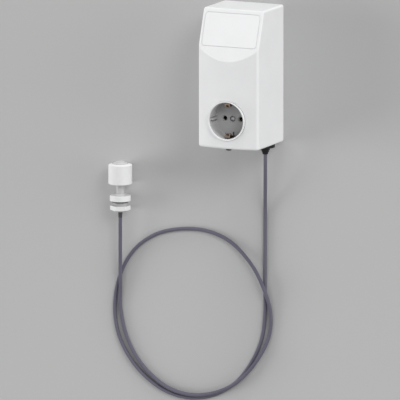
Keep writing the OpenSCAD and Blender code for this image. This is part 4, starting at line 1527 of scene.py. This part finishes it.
    def nut(self) -> Workpiece:
        """Cuts out the hexagon nut, turns chamfers on both faces and bores it.

        Returns:
            The nut.
        """
        low, high, flat = self.nut_high - self.nut_t, self.nut_high, self.nut_flats / 2
        across = flat / math.cos(math.pi / 6)
        angles = [math.radians(self.nut_turn + 60 * k) for k in range(6)]
        corners = [(across * math.cos(angle), across * math.sin(angle), 0.3) for angle in angles]
        outline = rounded_path(corners, closed=True, steps=4)
        nut = Workpiece.cut_out("clamp_nut", outline, low, high, self.place)
        bore = self.thread_r + SEAT_GAP
        nut.keep_inside(Workpiece.turned("lathe", [
            (0, low - CUT), (flat, low - CUT), (across + 0.3, low + self.nut_bevel),
            (across + 0.3, high - self.nut_bevel), (flat, high + CUT), (0, high + CUT),
        ], self.place))
        nut.cut(Workpiece.turned("drill", [
            (0, low - 0.5), (bore + 0.9, low - 0.5), (bore, low + self.nut_bevel),
            (bore, high - self.nut_bevel), (bore + 0.9, high + 0.5), (0, high + 0.5),
        ], self.place))
        return nut.clean().ease(0.12, 2, 25)

    def sleeve(self) -> Workpiece:
        """Turns the short dark sleeve that seals the lead into the thread's end; its darkness also
        paints the shade under the nut.

        Returns:
            The sleeve.
        """
        low, high = -self.thread_l - self.sleeve_l, self.thread_in - self.thread_l
        wide = self.sleeve_r + 0.25
        return self.ring("lead_seal_painted_shade", [
            (self.sleeve_bore, high), (wide, high), (wide, -self.thread_l - 1, 0.3),
            (self.sleeve_r, low, 0.1), (self.sleeve_bore, low),
        ], steps=48)

    def build(self, finishes: Finishes) -> None:
        """Makes all pieces of the float switch.

        Args:
            finishes: Finishes of the unit.
        """
        self.float_body().smooth().dress(finishes.float_, Body.FLOAT, "float")
        # The cap wears the float's white painted darker, as painted shade.
        self.cap().smooth().dress(finishes.cap, Body.CASE, "stem_cap")
        self.flange().smooth().dress(finishes.float_, Body.CASE, "mount_flange")
        self.stem().smooth().dress(finishes.stem, Body.CASE, "float_stem")
        # The thread is white like the flange; the stem's darker grey on it is painted shade under
        # the flange.
        self.thread().smooth(25).dress(finishes.stem, Body.CASE)
        self.gasket().smooth().dress(finishes.gasket, Body.CASE, "flange_gasket")
        self.nut().smooth().dress(finishes.float_, Body.CASE, "lock_nut")
        # Dark seal on the lead: partly a real seal, partly painted shade under the nut.
        self.sleeve().smooth().dress(finishes.gasket, Body.CASE)


@dataclass
class MainsPlug:
    """Plug and rear plate at the case's back."""

    pin_x: float = 9.5  # distance of each pin from the middle
    pin_r: float = 2.4  # radius of the pins
    tip: float = -19.0  # end of the pins on Z
    root: float = 27.0  # inner end of the pins on Z
    tip_round: float = 1.3  # length of the rounded tip
    collar: float = 22.5  # where the pins' collar starts on Z
    collar_t: float = 1.5  # thickness of that collar
    collar_w: float = 1.0  # how far it stands out

    def pin(self, name: str, side: int) -> Workpiece:
        """Turns a round pin with a domed tip, and a collar inside the case.

        Args:
            name: Name of the piece.
            side: 1 for the right one, -1 for the left one.

        Returns:
            The pin.
        """
        wide, end = self.pin_r + self.collar_w, self.collar + self.collar_t
        return Workpiece.turned(name, [
            (0, self.tip), (self.pin_r, self.tip, self.tip_round), (self.pin_r, self.collar),
            (wide, self.collar, 0.2), (wide, end, 0.2), (self.pin_r, end),
            (self.pin_r, self.root, 0.4), (0, self.root),
        ], placed(side * self.pin_x, 0, 0), steps=64)

    def build(self, finishes: Finishes) -> None:
        """Makes the pins, and eases the edges of the plate, the plug's body and the screws.

        Args:
            finishes: Finishes of the unit.
        """
        for name, side in (("left", -1), ("right", 1)):
            pin = self.pin(f"mains_pin_{name}", side)
            pin.smooth().dress(finishes.pin, Body.CASE, f"plug_pin_{name}")
        for name, node, finish, width in (
            ("back_plate", "rear_plate", finishes.housing, 0.3),
            ("plug_core", "plug_body", finishes.housing, 0.35),
            ("plug_earths", "plug_earth_strips", finishes.earth, 0.12),
            ("hood_screws", "case_screws", finishes.steel, 0.12),
        ):
            piece = Workpiece.from_node(name, node)
            piece.ease(width, 2, 40).smooth().dress(finish, Body.CASE, node)


@dataclass
class InnerWorks:
    """Pieces inside the case and the float, whose shape in the model is right."""

    # Finish of each node that is shown as it is
    nodes: dict[str, str] = field(default_factory=lambda: {
        "plug_screws": "steel", "earth_bar": "earth", "neutral_bar": "bar",
        "live_feed_bar": "bar", "switched_live_bar": "bar", "contact_base": "black",
        "socket_fixing_screws": "steel", "contact_sleeve_left": "brass",
        "contact_sleeve_right": "brass", "circuit_board": "board", "board_screws": "steel",
        "relay": "relay", "transformer": "core", "capacitor": "black", "fuse": "fuse",
        "terminal_block": "terminal", "buzzer": "black", "mute_switch": "black",
        "gland_nut": "black", "reed_switch": "glass", "float_magnet": "magnet",
    })

    def build(self, finishes: Finishes) -> None:
        """Gives each shown node its finish.

        Args:
            finishes: Finishes of the unit.
        """
        for node, name in self.nodes.items():
            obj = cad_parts[node]
            finish: Finish = getattr(finishes, name)
            obj.data.materials.clear()
            obj.data.materials.append(finish.material())
            log.info("%s: finished in %s", node, finish.slot)


def main() -> None:
    """Builds the studio, then the unit piece by piece."""
    logging.basicConfig(level=logging.INFO, format="%(name)s %(message)s")
    finishes = Finishes()
    Studio().build()
    SensorLead().build(finishes)
    for part in (HousingHood(), SocketInsert(), EarthClips(), MuteButton(), CableGland(),
                 FloatSwitch(), MainsPlug(), InnerWorks()):
        part.build(finishes)


if __name__ == "__main__":
    main()
